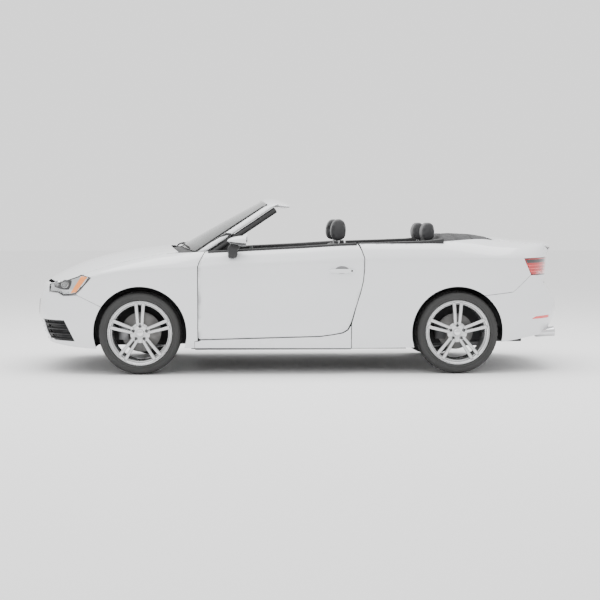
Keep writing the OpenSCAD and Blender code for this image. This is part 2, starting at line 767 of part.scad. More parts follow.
module steering_wheel() {
    color(interior) translate(helm_at) rotate([0, helm_tilt, 0]) {
        rotate_extrude($fn = 64) translate([helm_diameter / 2 - 14, 0]) circle(r = 14, $fn = 20);
        translate([0, 0, -30]) cylinder(r = 70, h = 40, $fn = 40);
        for (a = [0, 90, 180])
            rotate([0, 0, a - 90]) translate([50, -16, -14]) cube([helm_diameter / 2 - 70, 32, 18]);
        translate([0, 0, fit - column_free]) cylinder(r = 18, h = column_free - 25, $fn = 32);
    }
}

/* Mirrors on the doors */
module mirror_unit() {
    union() {
        hull() for (p = [[-590, -905, 1050], [-560, -990, 1060], [-430, -905, 1040], [-440, -980, 1050]])
            for (dz = [0, 50])
                translate([p[0], p[1], p[2] - 12 + dz * 0.9]) sphere(r = 12, $fn = 14);
        hull() {
            box([-560, -900, 1020], [-490, -880, 1030]);
            box([-570, -850, 940], [-490, -845, 960]);
        }
    }
}
module mirror_left() {
    color(paint) shell() difference() {
        mirror_unit();
        body_form(inset = -fit);
    }
}
module mirror_right() {
    on_right() mirror_left();
}

/* Running gear, built about the wheel's centre with +Z pointing outwards */
module at_wheel(x, side) {
    translate([x, side * wheel_y, hub_z]) rotate([side > 0 ? -90 : 90, 0, 0]) children();
}
module tyre_solid() {
    r = tyre_diameter / 2;
    w = tyre_width / 2;
    flange = rim_diameter / 2 + fit;
    bead = rim_diameter / 2 - 18 + fit;
    color(black) rotate_extrude($fn = 96)
        polygon([[flange, 5 - w], [flange + 14, -w], [r - 50, -w], [r - 22, 8 - w], [r - 6, 24 - w], [r, 50 - w],
            [r, w - 50], [r - 6, w - 24], [r - 22, w - 8], [r - 50, w], [flange + 14, w], [flange, w - 5],
            [flange, w - 18 - fit], [bead, w - 18 - fit], [bead, w - 34], [bead + 8, w - 38],
            [bead + 8, 38 - w], [bead, 34 - w], [bead, 18 + fit - w], [flange, 18 + fit - w]]);
}
module rim_solid() {
    r = rim_diameter / 2;
    w = tyre_width / 2;
    well = r - 18;
    color(steel) difference() {
        union() {
            rotate_extrude($fn = 96)
                polygon([[well - 9, 12 - w], [r, 12 - w], [r, 18 - w], [well, 18 - w], [well, w - 18], [r, w - 18],
                    [r, w - 12], [well - 9, w - 12]]);
            translate([0, 0, -10]) cylinder(r = 68, h = 84, $fn = 64);
            for (i = [0:4], s = [-1, 1])
                rotate([0, 0, 90 + 72 * i]) translate([60, s * 24 - 13, w - 52])
                    rotate([0, -3, 0]) cube([well - 62, 26, 30]);
        }
        translate([0, 0, -20]) cylinder(r = 16, h = 70, $fn = 48);
    }
}
module disc_solid(d) {
    color("#b5b7ba") difference() {
        union() {
            translate([0, 0, -62]) cylinder(r = d / 2, h = 22, $fn = 72);
            translate([0, 0, -62]) cylinder(r = 78, h = 52, $fn = 48);
        }
        translate([0, 0, -70]) cylinder(r = 16, h = 90, $fn = 48);
        translate([0, 0, -63]) cylinder(r = 70, h = 43, $fn = 48);
    }
}
// Upright with its stub axle and its caliper over the disc, which sits ahead of the hub
module upright_carrier(d, turn) {
    union() {
        translate([0, 0, -76]) cylinder(r = 15.5, h = 124, $fn = 48);
        translate([0, 0, -112]) cylinder(r = 62, h = 36, $fn = 48);
        difference() {
            rotate([0, 0, turn]) translate([d / 2 - 60, -60, -112]) cube([78, 120, 97]);
            translate([0, 0, -67]) cylinder(r = d / 2 + 5, h = 32, $fn = 72);
            translate([0, 0, -76]) cylinder(r = 84, h = 100, $fn = 48);
        }
        rotate([0, 0, turn]) translate([0, -40, -112]) cube([d / 2 - 30, 80, 36]);
    }
}

module tyre_front_left() {
    at_wheel(front_axle, -1) tyre_solid();
}
module tyre_front_right() {
    at_wheel(front_axle, 1) tyre_solid();
}
module tyre_rear_left() {
    at_wheel(rear_axle_x, -1) tyre_solid();
}
module tyre_rear_right() {
    at_wheel(rear_axle_x, 1) tyre_solid();
}
module rim_front_left() {
    at_wheel(front_axle, -1) rim_solid();
}
module rim_front_right() {
    at_wheel(front_axle, 1) rim_solid();
}
module rim_rear_left() {
    at_wheel(rear_axle_x, -1) rim_solid();
}
module rim_rear_right() {
    at_wheel(rear_axle_x, 1) rim_solid();
}
module disc_front_left() {
    at_wheel(front_axle, -1) disc_solid(front_disc);
}
module disc_front_right() {
    at_wheel(front_axle, 1) disc_solid(front_disc);
}
module disc_rear_left() {
    at_wheel(rear_axle_x, -1) disc_solid(rear_disc);
}
module disc_rear_right() {
    at_wheel(rear_axle_x, 1) disc_solid(rear_disc);
}
module knuckle(side) {
    color("#55585c") {
        at_wheel(front_axle, side) upright_carrier(front_disc, 180);
        translate([front_axle, side * (wheel_y - king_offset), arm_z]) cylinder(r = 13, h = 60, $fn = 32);
    }
}
module knuckle_left() {
    knuckle(-1);
}
module knuckle_right() {
    knuckle(1);
}
module rear_axle() {
    color("#55585c") {
        for (s = [-1, 1]) {
            at_wheel(rear_axle_x, s) upright_carrier(rear_disc, 180);
        }
        // Trailing arms
        for (s = [-1, 1])
            box([liner_front - 2 + fit, s * 510 - 30, 290], [rear_axle_x, s * 510 + 30, 330]);
        translate([rear_axle_x, -wheel_y + 112, hub_z]) rotate([-90, 0, 0])
            cylinder(r = 30, h = 2 * wheel_y - 224, $fn = 40);
    }
}

underbody();
front_structure();
engine_block();
rear_axle();
fuel_tank();
exhaust();
arch_liners();
sills();
fender_left();
fender_right();
quarter_left();
quarter_right();
front_bumper();
front_grille();
headlamps();
rear_bumper();
tail_lamps();
windscreen_frame();
windscreen();
cowl();
folded_top();
dashboard();
cabin_trim();
chair_left();
chair_right();
rear_bench();
door_hinges();
bonnet();
boot_lid();
door_left();
door_right();
mirror_left();
mirror_right();
steering_wheel();
knuckle_left();
knuckle_right();
tyre_front_left();
tyre_front_right();
tyre_rear_left();
tyre_rear_right();
rim_front_left();
rim_front_right();
rim_rear_left();
rim_rear_right();
disc_front_left();
disc_front_right();
disc_rear_left();
disc_rear_right();
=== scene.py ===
import math

import bmesh
import bpy
from mathutils import Matrix, Vector
from mathutils.bvhtree import BVHTree


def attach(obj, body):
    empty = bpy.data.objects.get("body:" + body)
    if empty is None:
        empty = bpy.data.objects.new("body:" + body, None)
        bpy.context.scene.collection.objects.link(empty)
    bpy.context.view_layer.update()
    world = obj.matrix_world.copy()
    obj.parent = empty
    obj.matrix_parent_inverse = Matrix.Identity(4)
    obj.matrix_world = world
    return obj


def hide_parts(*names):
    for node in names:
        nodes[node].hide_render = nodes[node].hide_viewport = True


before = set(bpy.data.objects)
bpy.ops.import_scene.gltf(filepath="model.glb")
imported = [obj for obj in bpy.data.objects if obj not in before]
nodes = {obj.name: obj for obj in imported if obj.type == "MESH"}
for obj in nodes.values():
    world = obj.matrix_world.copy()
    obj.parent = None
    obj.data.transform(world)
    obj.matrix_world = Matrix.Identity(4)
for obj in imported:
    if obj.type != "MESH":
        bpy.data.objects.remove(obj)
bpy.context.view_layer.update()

# -- Viewpoint, floor and light ---------------------------------------------------------
# A plain pale studio: a wide white floor, an even white surround and one broad
# soft box overhead, with a weaker one in front so that the flank stays grey-white.
EYE = Vector((-0.370, -11.395, 1.216))
AIM = Vector((0.0340, 1.0, -0.0590))
camera = bpy.data.objects.new("camera", bpy.data.cameras.new("camera"))
bpy.context.scene.collection.objects.link(camera)
camera.location = EYE
camera.rotation_euler = AIM.to_track_quat("-Z", "Y").to_euler()
camera.data.lens = 79.4
camera.data.sensor_width = 36
camera.data.clip_end = 200
bpy.context.scene.camera = camera

bpy.ops.object.select_all(action="DESELECT")
bpy.ops.mesh.primitive_plane_add(size=90, location=(0, 0, -0.001))
floor = bpy.context.object
floor.name = "floor"
floor_finish = bpy.data.materials.new("pale_floor")
floor_finish.use_nodes = True
floor_shader = floor_finish.node_tree.nodes["Principled BSDF"]
floor_shader.inputs["Base Color"].default_value = (0.93, 0.93, 0.93, 1)
floor_shader.inputs["Roughness"].default_value = 0.85
floor_shader.inputs["Specular IOR Level"].default_value = 0.1
floor.data.materials.append(floor_finish)

world = bpy.data.worlds.new("studio")
bpy.context.scene.world = world
world.use_nodes = True
world.node_tree.nodes["Background"].inputs["Color"].default_value = (1, 1, 1, 1)
world.node_tree.nodes["Background"].inputs["Strength"].default_value = 1.5
for name, place, size, power in (("overhead_box", (0, 0, 7), (9, 6), 700),
        ("front_box", (-3, -9, 6), (8, 4), 120)):
    light = bpy.data.objects.new(name, bpy.data.lights.new(name, "AREA"))
    bpy.context.scene.collection.objects.link(light)
    light.data.shape = "RECTANGLE"
    light.data.size, light.data.size_y = size
    light.data.energy = power
    light.location = place
    light.rotation_euler = (-Vector(place)).to_track_quat("-Z", "Y").to_euler()


# -- Painted shell ----------------------------------------------------------------------
# Pressed panels, sprayed white and lacquered: doors, wings, lid and bonnet in steel and
# aluminium, and the two bumpers in painted plastic. Gaps between them are left open.
def pattern_group(name, relief):
    """A node group that gives a drifting colour, a drifting polish and a relief."""
    if name in bpy.data.node_groups:
        return bpy.data.node_groups[name]
    group = bpy.data.node_groups.new(name, "ShaderNodeTree")
    for label, kind, first in (
        ("First colour", "NodeSocketColor", (0.5, 0.5, 0.5, 1)),
        ("Second colour", "NodeSocketColor", (0.5, 0.5, 0.5, 1)),
        ("Drift scale", "NodeSocketFloat", 3.0),
        ("Smoothest", "NodeSocketFloat", 0.3),
        ("Roughest", "NodeSocketFloat", 0.5),
        ("Relief scale", "NodeSocketFloat", 300.0),
    ):
        group.interface.new_socket(name=label, in_out="INPUT", socket_type=kind).default_value = first
    for label, kind in (("Colour", "NodeSocketColor"), ("Roughness", "NodeSocketFloat"),
            ("Height", "NodeSocketFloat")):
        group.interface.new_socket(name=label, in_out="OUTPUT", socket_type=kind)
    add, link = group.nodes.new, group.links.new
    given, out = add("NodeGroupInput"), add("NodeGroupOutput")
    place = add("ShaderNodeTexCoord")
    drift = add("ShaderNodeTexNoise")
    drift.inputs["Detail"].default_value = 5
    link(place.outputs["Object"], drift.inputs["Vector"])
    link(given.outputs["Drift scale"], drift.inputs["Scale"])
    blend = add("ShaderNodeMix")
    blend.data_type = "RGBA"
    link(drift.outputs["Fac"], blend.inputs[0])
    link(given.outputs["First colour"], blend.inputs[6])
    link(given.outputs["Second colour"], blend.inputs[7])
    polish = add("ShaderNodeMapRange")
    polish.inputs["From Min"].default_value = 0.3
    polish.inputs["From Max"].default_value = 0.7
    link(drift.outputs["Fac"], polish.inputs["Value"])
    link(given.outputs["Smoothest"], polish.inputs["To Min"])
    link(given.outputs["Roughest"], polish.inputs["To Max"])
    height = relief(add, link, place.outputs["Object"], given.outputs["Relief scale"])
    link(blend.outputs[2], out.inputs["Colour"])
    link(polish.outputs["Result"], out.inputs["Roughness"])
    link(height, out.inputs["Height"])
    return group


def speckled(add, link, place, scale):
    """Fine even grain, as of lacquer, cast metal or rubber."""
    grain = add("ShaderNodeTexNoise")
    grain.inputs["Detail"].default_value = 3
    link(place, grain.inputs["Vector"])
    link(scale, grain.inputs["Scale"])
    return grain.outputs["Fac"]


def pebbled(add, link, place, scale):
    """Small rounded pebbles, as of moulded plastic and leather."""
    cells = add("ShaderNodeTexVoronoi")
    cells.feature = "SMOOTH_F1"
    link(place, cells.inputs["Vector"])
    link(scale, cells.inputs["Scale"])
    return cells.outputs["Distance"]


def woven(add, link, place, scale):
    """Threads that cross, as of hood cloth and webbing."""
    threads = []
    for direction in ("X", "Y"):
        wave = add("ShaderNodeTexWave")
        wave.bands_direction = direction
        wave.inputs["Distortion"].default_value = 0.4
        link(place, wave.inputs["Vector"])
        link(scale, wave.inputs["Scale"])
        threads.append(wave.outputs["Fac"])
    cross = add("ShaderNodeMath")
    cross.operation = "MAXIMUM"
    link(threads[0], cross.inputs[0])
    link(threads[1], cross.inputs[1])
    return cross.outputs["Value"]


def finish(name, first, second, polish, drift=3.0, relief=speckled, scale=300.0, depth=0.0002,
        strength=0.3, **sockets):
    """A material of one pattern, with the shader's own numbers set on its sockets."""
    material = bpy.data.materials.new(name)
    material.use_nodes = True
    tree = material.node_tree
    shader = tree.nodes["Principled BSDF"]
    surface = tree.nodes.new("ShaderNodeGroup")
    surface.node_tree = pattern_group("surface_" + relief.__name__, relief)
    surface.inputs["First colour"].default_value = (*first, 1)
    surface.inputs["Second colour"].default_value = (*second, 1)
    surface.inputs["Drift scale"].default_value = drift
    surface.inputs["Smoothest"].default_value = polish[0]
    surface.inputs["Roughest"].default_value = polish[1]
    surface.inputs["Relief scale"].default_value = scale
    bump = tree.nodes.new("ShaderNodeBump")
    bump.inputs["Strength"].default_value = strength
    bump.inputs["Distance"].default_value = depth
    tree.links.new(surface.outputs["Colour"], shader.inputs["Base Color"])
    tree.links.new(surface.outputs["Roughness"], shader.inputs["Roughness"])
    tree.links.new(surface.outputs["Height"], bump.inputs["Height"])
    tree.links.new(bump.outputs["Normal"], shader.inputs["Normal"])
    for label, value in sockets.items():
        shader.inputs[label.replace("_", " ")].default_value = value
    return material


def alone(piece):
    """Only this piece is selected, and it is active."""
    bpy.ops.object.select_all(action="DESELECT")
    piece.select_set(True)
    bpy.context.view_layer.objects.active = piece


def dress(node, material, smooth=True):
    """Gives a carried-over node its finish, with its facets welded and shaded as one surface."""
    piece = nodes[node]
    piece.data.materials.clear()
    piece.data.materials.append(material)
    if smooth:
        alone(piece)
        bpy.ops.mesh.customdata_custom_splitnormals_clear()
        bpy.ops.object.shade_smooth()
        weld = piece.modifiers.new("weld", "WELD")
        weld.merge_threshold = 0.00002
        shade = piece.modifiers.new("shade", "WEIGHTED_NORMAL")
        shade.weight = 80


paint = finish("white_lacquer", (0.80, 0.81, 0.825), (0.765, 0.777, 0.795), (0.26, 0.32), drift=1.2,
    scale=900.0,
    depth=0.00004, strength=0.08, **{"Coat_Weight": 1.0, "Coat_Roughness": 0.03, "Specular_IOR_Level": 0.4})
for node in ("bonnet", "boot_lid", "door_left", "door_right", "fender_left", "fender_right", "quarter_left",
        "quarter_right", "front_bumper", "rear_bumper", "sills", "windscreen_frame"):
    dress(node, paint)

# -- Black mouldings --------------------------------------------------------------------
# Unpainted plastic: the wheel-arch liners, the tray under the windscreen and the slats in
# the nose. They are injection moulded with a fine pebbled skin and pushed in with clips.
moulding = finish("black_moulding", (0.012, 0.012, 0.013), (0.02, 0.02, 0.021), (0.45, 0.6), drift=8,
    relief=pebbled, scale=700.0, depth=0.0003, strength=0.35)
for node in ("arch_liners", "cowl", "front_grille"):
    dress(node, moulding)

# -- Structure and running gear ---------------------------------------------------------
# The floor pan, subframes, axle and hinges are stamped or cast steel under dark primer,
# and the engine is cast aluminium. They show only under the car and with a lid open.
primer = finish("dark_primer", (0.03, 0.031, 0.033), (0.05, 0.05, 0.052), (0.45, 0.65), drift=5,
    scale=260.0)
cast_metal = finish("cast_metal", (0.28, 0.28, 0.285), (0.2, 0.2, 0.205), (0.38, 0.55), drift=9,
    scale=500.0,
    depth=0.0004, strength=0.5, Metallic=1.0)
for node in ("underbody", "front_structure", "rear_axle", "fuel_tank", "door_hinges"):
    dress(node, primer)
for node in ("engine_block", "knuckle_left", "knuckle_right"):
    dress(node, cast_metal)

# -- Windscreen -------------------------------------------------------------------------
# Laminated glass bonded into the frame, tinted a dark green-grey far past its real light tint as painted
# shade for the dim cabin seen through it. Its black edge comes with the screen surround.
glass = bpy.data.materials.new("screen_glass_painted_shade")
glass.use_nodes = True
pane = glass.node_tree.nodes["Principled BSDF"]
# The dark tint is painted shade for the cabin seen through the screen, not the glass's own colour
pane.inputs["Base Color"].default_value = (0.17, 0.20, 0.19, 1)
pane.inputs["Roughness"].default_value = 0.02
pane.inputs["Transmission Weight"].default_value = 1.0
pane.inputs["IOR"].default_value = 1.45
pane.inputs["Coat Weight"].default_value = 0.3
dress("windscreen", glass)

# -- Tyres ------------------------------------------------------------------------------
# Black rubber over a wire bead: a rounded sidewall with a rim-guard ring, four grooves
# round the tread and shoulder blocks cut across it. Moulded in one piece.
HUB_X = (-1.287, 1.253)
HUB_Y = 0.772
HUB_Z = 0.3315
WHEELS = {
    "front_left": (HUB_X[0], -1), "front_right": (HUB_X[0], 1),
    "rear_left": (HUB_X[1], -1), "rear_right": (HUB_X[1], 1),
}


def pick(piece, kind, test):
    """In edit mode, selects the faces or edges whose centre passes the test."""
    bpy.context.view_layer.objects.active = piece
    if bpy.context.mode != "EDIT_MESH":
        bpy.ops.object.mode_set(mode="EDIT")
    bpy.ops.mesh.select_mode(type=kind)
    bpy.ops.mesh.select_all(action="DESELECT")
    form = bmesh.from_edit_mesh(piece.data)
    form.normal_update()
    if kind == "FACE":
        for face in form.faces:
            face.select = bool(test(face.calc_center_median(), face.normal))
    elif kind == "EDGE":
        for edge in form.edges:
            ends = [v.co for v in edge.verts]
            edge.select = bool(test((ends[0] + ends[1]) / 2, ends[1] - ends[0]))
    else:
        for vert in form.verts:
            vert.select = bool(test(vert.co, vert.normal))
    form.select_flush_mode()
    bmesh.update_edit_mesh(piece.data)


def turned(name, outline, steps=96, closed=True):
    """A form of revolution about Y: a ring of points (radius, outward) spun round the origin."""
    bpy.ops.object.select_all(action="DESELECT")
    bpy.ops.mesh.primitive_circle_add(vertices=len(outline), radius=0.1, fill_type="NOTHING")
    piece = bpy.context.object
    piece.name = piece.data.name = name
    for vert, (radius, outward) in zip(piece.data.vertices, outline):
        vert.co = (radius, -outward, 0)
    bpy.ops.object.mode_set(mode="EDIT")
    if not closed:
        last = len(outline) - 1
        pick(piece, "EDGE", lambda c, d: abs(c.x - (outline[0][0] + outline[last][0]) / 2) < 1e-6
            and abs(c.y + (outline[0][1] + outline[last][1]) / 2) < 1e-6)
        bpy.ops.mesh.delete(type="EDGE_FACE")
    bpy.ops.mesh.select_all(action="SELECT")
    bpy.ops.mesh.spin(steps=steps, angle=math.tau, center=(0, 0, 0), axis=(0, 1, 0))
    bpy.ops.mesh.select_all(action="SELECT")
    bpy.ops.mesh.remove_doubles(threshold=0.00002)
    bpy.ops.mesh.normals_make_consistent(inside=False)
    bpy.ops.object.mode_set(mode="OBJECT")
    return piece


def close_up(piece, bevel=0.0, segments=2, smooth_levels=0, angle=35):
    """Back in object mode: rounds edges, adds a subdivision if asked, and shades."""
    if bpy.context.mode != "OBJECT":
        bpy.ops.object.mode_set(mode="OBJECT")
    alone(piece)
    if bevel:
        edge = piece.modifiers.new("edge", "BEVEL")
        edge.width = bevel
        edge.segments = segments
        edge.limit_method = "ANGLE"
        bpy.ops.object.modifier_apply(modifier="edge")
    if smooth_levels:
        rounder = piece.modifiers.new("rounder", "SUBSURF")
        rounder.levels = rounder.render_levels = smooth_levels
        bpy.ops.object.modifier_apply(modifier="rounder")
    bpy.ops.object.shade_smooth_by_angle(angle=math.radians(angle))
    return piece


def fit(piece, material, body, stands_for=()):
    """Gives a piece its finish and fixes it to its body."""
    piece.data.materials.clear()
    piece.data.materials.append(material)
    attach(piece, body)
    if stands_for:
        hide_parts(*stands_for)
    return piece


def copied(piece, name, move):
    """A copy with its own mesh, moved by a matrix that is written into the mesh."""
    twin = piece.copy()
    twin.data = piece.data.copy()
    twin.name = twin.data.name = name
    bpy.context.scene.collection.objects.link(twin)
    twin.data.transform(move)
    if move.determinant() < 0:
        twin.data.flip_normals()
    return twin


def to_wheels(master, stem, material, stands_for=None):
    """One copy of a piece made about the origin for each of the four wheels."""
    for corner, (x, side) in WHEELS.items():
        turn = Matrix.Rotation(math.pi if side > 0 else 0, 4, "Z")
        twin = copied(master, f"{stem}_{corner}", Matrix.Translation((x, side * HUB_Y, HUB_Z)) @ turn)
        fit(twin, material, f"wheel_{corner}", (f"{stands_for}_{corner}",) if stands_for else ())
    bpy.data.objects.remove(master)


# Rows of the tyre's half outline: radius, outward
SIDEWALL = [(0.2602, 0.098), (0.2602, 0.1030), (0.2625, 0.1075), (0.2670, 0.1110), (0.2720, 0.1120),
    (0.2760, 0.1105), (0.2785, 0.1085), (0.2840, 0.1100), (0.2900, 0.1108), (0.2960, 0.1104),
    (0.3020, 0.1085),
    (0.3070, 0.1058), (0.3100, 0.1036), (0.3112, 0.1012), (0.3150, 0.0990), (0.3195, 0.0945),
    (0.3232, 0.0880),
    (0.3262, 0.0790), (0.3280, 0.0700), (0.3290, 0.0620)]
TREAD = [(0.3296, 0.0560), (0.3235, 0.0545), (0.3235, 0.0465), (0.3300, 0.0450), (0.3308, 0.0230),
    (0.3240, 0.0215),
    (0.3240, 0.0130), (0.3313, 0.0115)]
half = SIDEWALL + TREAD
tyre = turned("tyre", half + [(r, -w) for r, w in reversed(half)], steps=144)


def shoulder_block(centre, _):
    """Every other stretch of the tread's shoulder and of its middle ribs."""
    turn = math.degrees(math.atan2(centre.z, centre.x)) % 360
    reach = abs(centre.y)
    wide = 0.058 < reach < 0.094 and int(turn / 2.5) % 3 == 0
    rib = 0.024 < reach < 0.0445 and int(turn / 2.5 + 2) % 4 == 0
    return (wide or rib) and centre.xz.length > 0.318


pick(tyre, "FACE", shoulder_block)
bpy.ops.mesh.extrude_region_shrink_fatten(TRANSFORM_OT_shrink_fatten={"value": -0.0045})
close_up(tyre, angle=28)
rubber = finish("tyre_rubber", (0.016, 0.016, 0.016), (0.026, 0.026, 0.025), (0.5, 0.72), drift=7,
    scale=800.0,
    depth=0.0002, strength=0.35)
to_wheels(tyre, "tyre", rubber, "tyre")

# -- Alloy wheels -----------------------------------------------------------------------
# Cast and machined aluminium under silver lacquer: a deep barrel, a stepped face ring
# and five pairs of ribbed spokes that leave the hub close together and part at the rim.
# Rows of a turned outline: radius, outward
BARREL = [(0.2590, 0.0985), (0.2550, 0.1010), (0.2510, 0.0990), (0.2480, 0.0940), (0.2440, 0.0905),
    (0.2360, 0.0880),
    (0.2325, 0.0835), (0.2310, 0.0760), (0.2255, 0.0720), (0.2230, 0.0640), (0.2200, 0.0300),
    (0.2180, -0.0300),
    (0.2160, -0.0700), (0.2250, -0.0900), (0.2500, -0.0990), (0.2588, -0.0990), (0.2590, -0.0940),
    (0.2300, -0.0800),
    (0.2245, -0.0600), (0.2260, 0.0200), (0.2310, 0.0620), (0.2400, 0.0780), (0.2520, 0.0860),
    (0.2590, 0.0920)]


def joined(pieces):
    """Joins pieces into the first of them."""
    bpy.ops.object.select_all(action="DESELECT")
    for piece in pieces:
        piece.select_set(True)
    bpy.context.view_layer.objects.active = pieces[0]
    bpy.ops.object.join()
    return pieces[0]


def sunk(piece, test, rim, move):
    """In edit mode, leaves a rim round the faces that pass the test, and moves them in."""
    pick(piece, "FACE", test)
    bpy.ops.mesh.inset(thickness=rim)
    bpy.ops.transform.translate(value=move)


def sliced(piece, normal, places):
    """In edit mode, cuts the mesh through at places along an axis, and keeps both sides."""
    alone(piece)
    bpy.ops.object.mode_set(mode="EDIT")
    for place in places:
        bpy.ops.mesh.select_all(action="SELECT")
        bpy.ops.mesh.bisect(plane_co=[place * share for share in normal], plane_no=normal)


wheel = turned("alloy", BARREL, steps=96)
HUB_FACE = [(0.0001, 0.0760), (0.0300, 0.0760), (0.0320, 0.0740), (0.0330, 0.0700), (0.0560, 0.0745),
    (0.0700, 0.0735),
    (0.0790, 0.0690), (0.0810, 0.0600), (0.0760, 0.0450), (0.0660, 0.0100), (0.0660, -0.0090),
    (0.0001, -0.0090)]
hub = turned("hub", HUB_FACE, steps=60)
SPOKE_FOOT = 0.058
SPOKE_LONG = 0.184
parts = [wheel, hub]
for pair in range(5):
    for side in (-1, 1):
        bpy.ops.object.select_all(action="DESELECT")
        bpy.ops.mesh.primitive_cube_add(size=1, location=(0, -0.070, SPOKE_FOOT + SPOKE_LONG / 2))
        spoke = bpy.context.object
        spoke.scale = (0.027, 0.030, SPOKE_LONG)
        bpy.ops.object.transform_apply(location=True, rotation=True, scale=True)
        sliced(spoke, (0, 0, 1), (0.085, 0.110, 0.140, 0.170, 0.200, 0.222))
        sunk(spoke, lambda c, n: n.y < -0.9, 0.0075, (0, -0.005, 0))
        bpy.ops.object.mode_set(mode="OBJECT")
        for vert in spoke.data.vertices:
            rise = (vert.co.z - SPOKE_FOOT) / SPOKE_LONG
            vert.co.x = vert.co.x * (0.86 + 0.16 * rise) + side * (0.0165 + 0.0125 * rise)
            vert.co.y += -0.010 * math.sin(math.pi * rise) * 0.9 - 0.008 * rise + 0.006 * (1 - rise)
            if vert.co.y > -0.065:
                vert.co.y -= 0.010 * rise
        close_up(spoke, bevel=0.003, segments=2)
        spoke.data.transform(Matrix.Rotation(math.radians(72 * pair), 4, "Y"))
        parts.append(spoke)
close_up(joined(parts), angle=32)
alloy = finish("silver_alloy", (0.62, 0.625, 0.63), (0.56, 0.565, 0.57), (0.22, 0.32), drift=6, scale=900.0,
    depth=0.00005, strength=0.15, Metallic=0.75, Coat_Weight=0.6, Coat_Roughness=0.06)
to_wheels(wheel, "alloy", alloy, "rim")

# Wheel bolts: five dark hexagon heads round a plain round cap, each in a dark steel ring that
# stands for its cone seat in shape and is painted shade for the bolt hole in colour
BOLT_CIRCLE = 0.056
bolt_heads_and_shade_rings = []
for k in range(5):
    turn = math.radians(90 + 72 * k)
    bpy.ops.object.select_all(action="DESELECT")
    bpy.ops.mesh.primitive_cylinder_add(vertices=6, radius=0.0095, depth=0.016,
        location=(BOLT_CIRCLE * math.cos(turn), -0.0745, BOLT_CIRCLE * math.sin(turn)),
        rotation=(math.pi / 2, 0, 0))
    bolt = bpy.context.object
    bpy.ops.object.transform_apply(location=True, rotation=True, scale=True)
    sunk(bolt, lambda c, n: n.y < -0.9, 0.0035, (0, 0.006, 0))
    close_up(bolt, bevel=0.0008, segments=1)
    bpy.ops.object.select_all(action="DESELECT")
    # Dark ring round the bolt: a cone seat in shape, painted shade for the bolt hole in colour
    bpy.ops.mesh.primitive_torus_add(major_radius=0.0125, minor_radius=0.0022, major_segments=24,
        minor_segments=8,
        location=(BOLT_CIRCLE * math.cos(turn), -0.0742, BOLT_CIRCLE * math.sin(turn)),
        rotation=(math.pi / 2, 0, 0))
    bpy.ops.object.transform_apply(location=True, rotation=True, scale=True)
    bolt_heads_and_shade_rings += [bolt, bpy.context.object]
dark_steel = finish("dark_steel", (0.06, 0.06, 0.062), (0.1, 0.1, 0.1), (0.3, 0.45), drift=12, scale=600.0,
    Metallic=0.9)
to_wheels(close_up(joined(bolt_heads_and_shade_rings)), "wheel_bolts_and_shade_rings", dark_steel)
cap = turned("cap", [(0.0001, 0.0800), (0.0180, 0.0795), (0.0230, 0.0780), (0.0250, 0.0760),
    (0.0262, 0.0790), (0.0290, 0.0795),
    (0.0305, 0.0770), (0.0305, 0.0700), (0.0001, 0.0700)], steps=48)
chrome = finish("bright_metal", (0.72, 0.72, 0.73), (0.66, 0.66, 0.67), (0.08, 0.16), drift=10, scale=500.0,
    depth=0.00003, strength=0.1, Metallic=1.0)
to_wheels(close_up(cap), "hub_cap", chrome)

# -- Brakes -----------------------------------------------------------------------------
# Cast iron discs with turned faces, bolted on between hub and wheel. Their dark grey is partly the
# iron's own tone and partly painted shade for the shadow inside the wheel. The callipers are one with
# the knuckles and the rear axle.
# Dark iron colour: partly its own tone, partly painted shade for the shadow inside the wheel
disc_iron_and_shade = finish("brake_iron_and_shade", (0.20, 0.197, 0.193), (0.12, 0.118, 0.115), (0.35, 0.55), drift=14,
    scale=400.0,
    depth=0.0002, strength=0.3, Metallic=0.95)
for corner in WHEELS:
    dress(f"disc_{corner}", disc_iron_and_shade)

# -- Chairs and bench -------------------------------------------------------------------
# Moulded foam on a sprung frame under charcoal hide: each pad is a crowned form with a
# fluted middle between two stitched seams, and the headrests stand on steel posts.
hide = finish("charcoal_hide", (0.022, 0.022, 0.024), (0.034, 0.034, 0.036), (0.42, 0.6), drift=6,
    relief=pebbled,
    scale=520.0, depth=0.0004, strength=0.4, Sheen_Weight=0.15)


def slab_of(name, outline, low, high):
    """A prism: an outline in X and Z, drawn from y = low to y = high."""
    bpy.ops.object.select_all(action="DESELECT")
    bpy.ops.mesh.primitive_circle_add(vertices=len(outline), radius=0.1, fill_type="NGON")
    piece = bpy.context.object
    piece.name = piece.data.name = name
    for vert, (x, z) in zip(piece.data.vertices, outline):
        vert.co = (x, low, z)
    bpy.ops.object.mode_set(mode="EDIT")
    bpy.ops.mesh.select_all(action="SELECT")
    bpy.ops.mesh.extrude_region_move(TRANSFORM_OT_translate={"value": (0, high - low, 0)})
    bpy.ops.mesh.select_all(action="SELECT")
    bpy.ops.mesh.normals_make_consistent(inside=False)
    bpy.ops.object.mode_set(mode="OBJECT")
    return piece


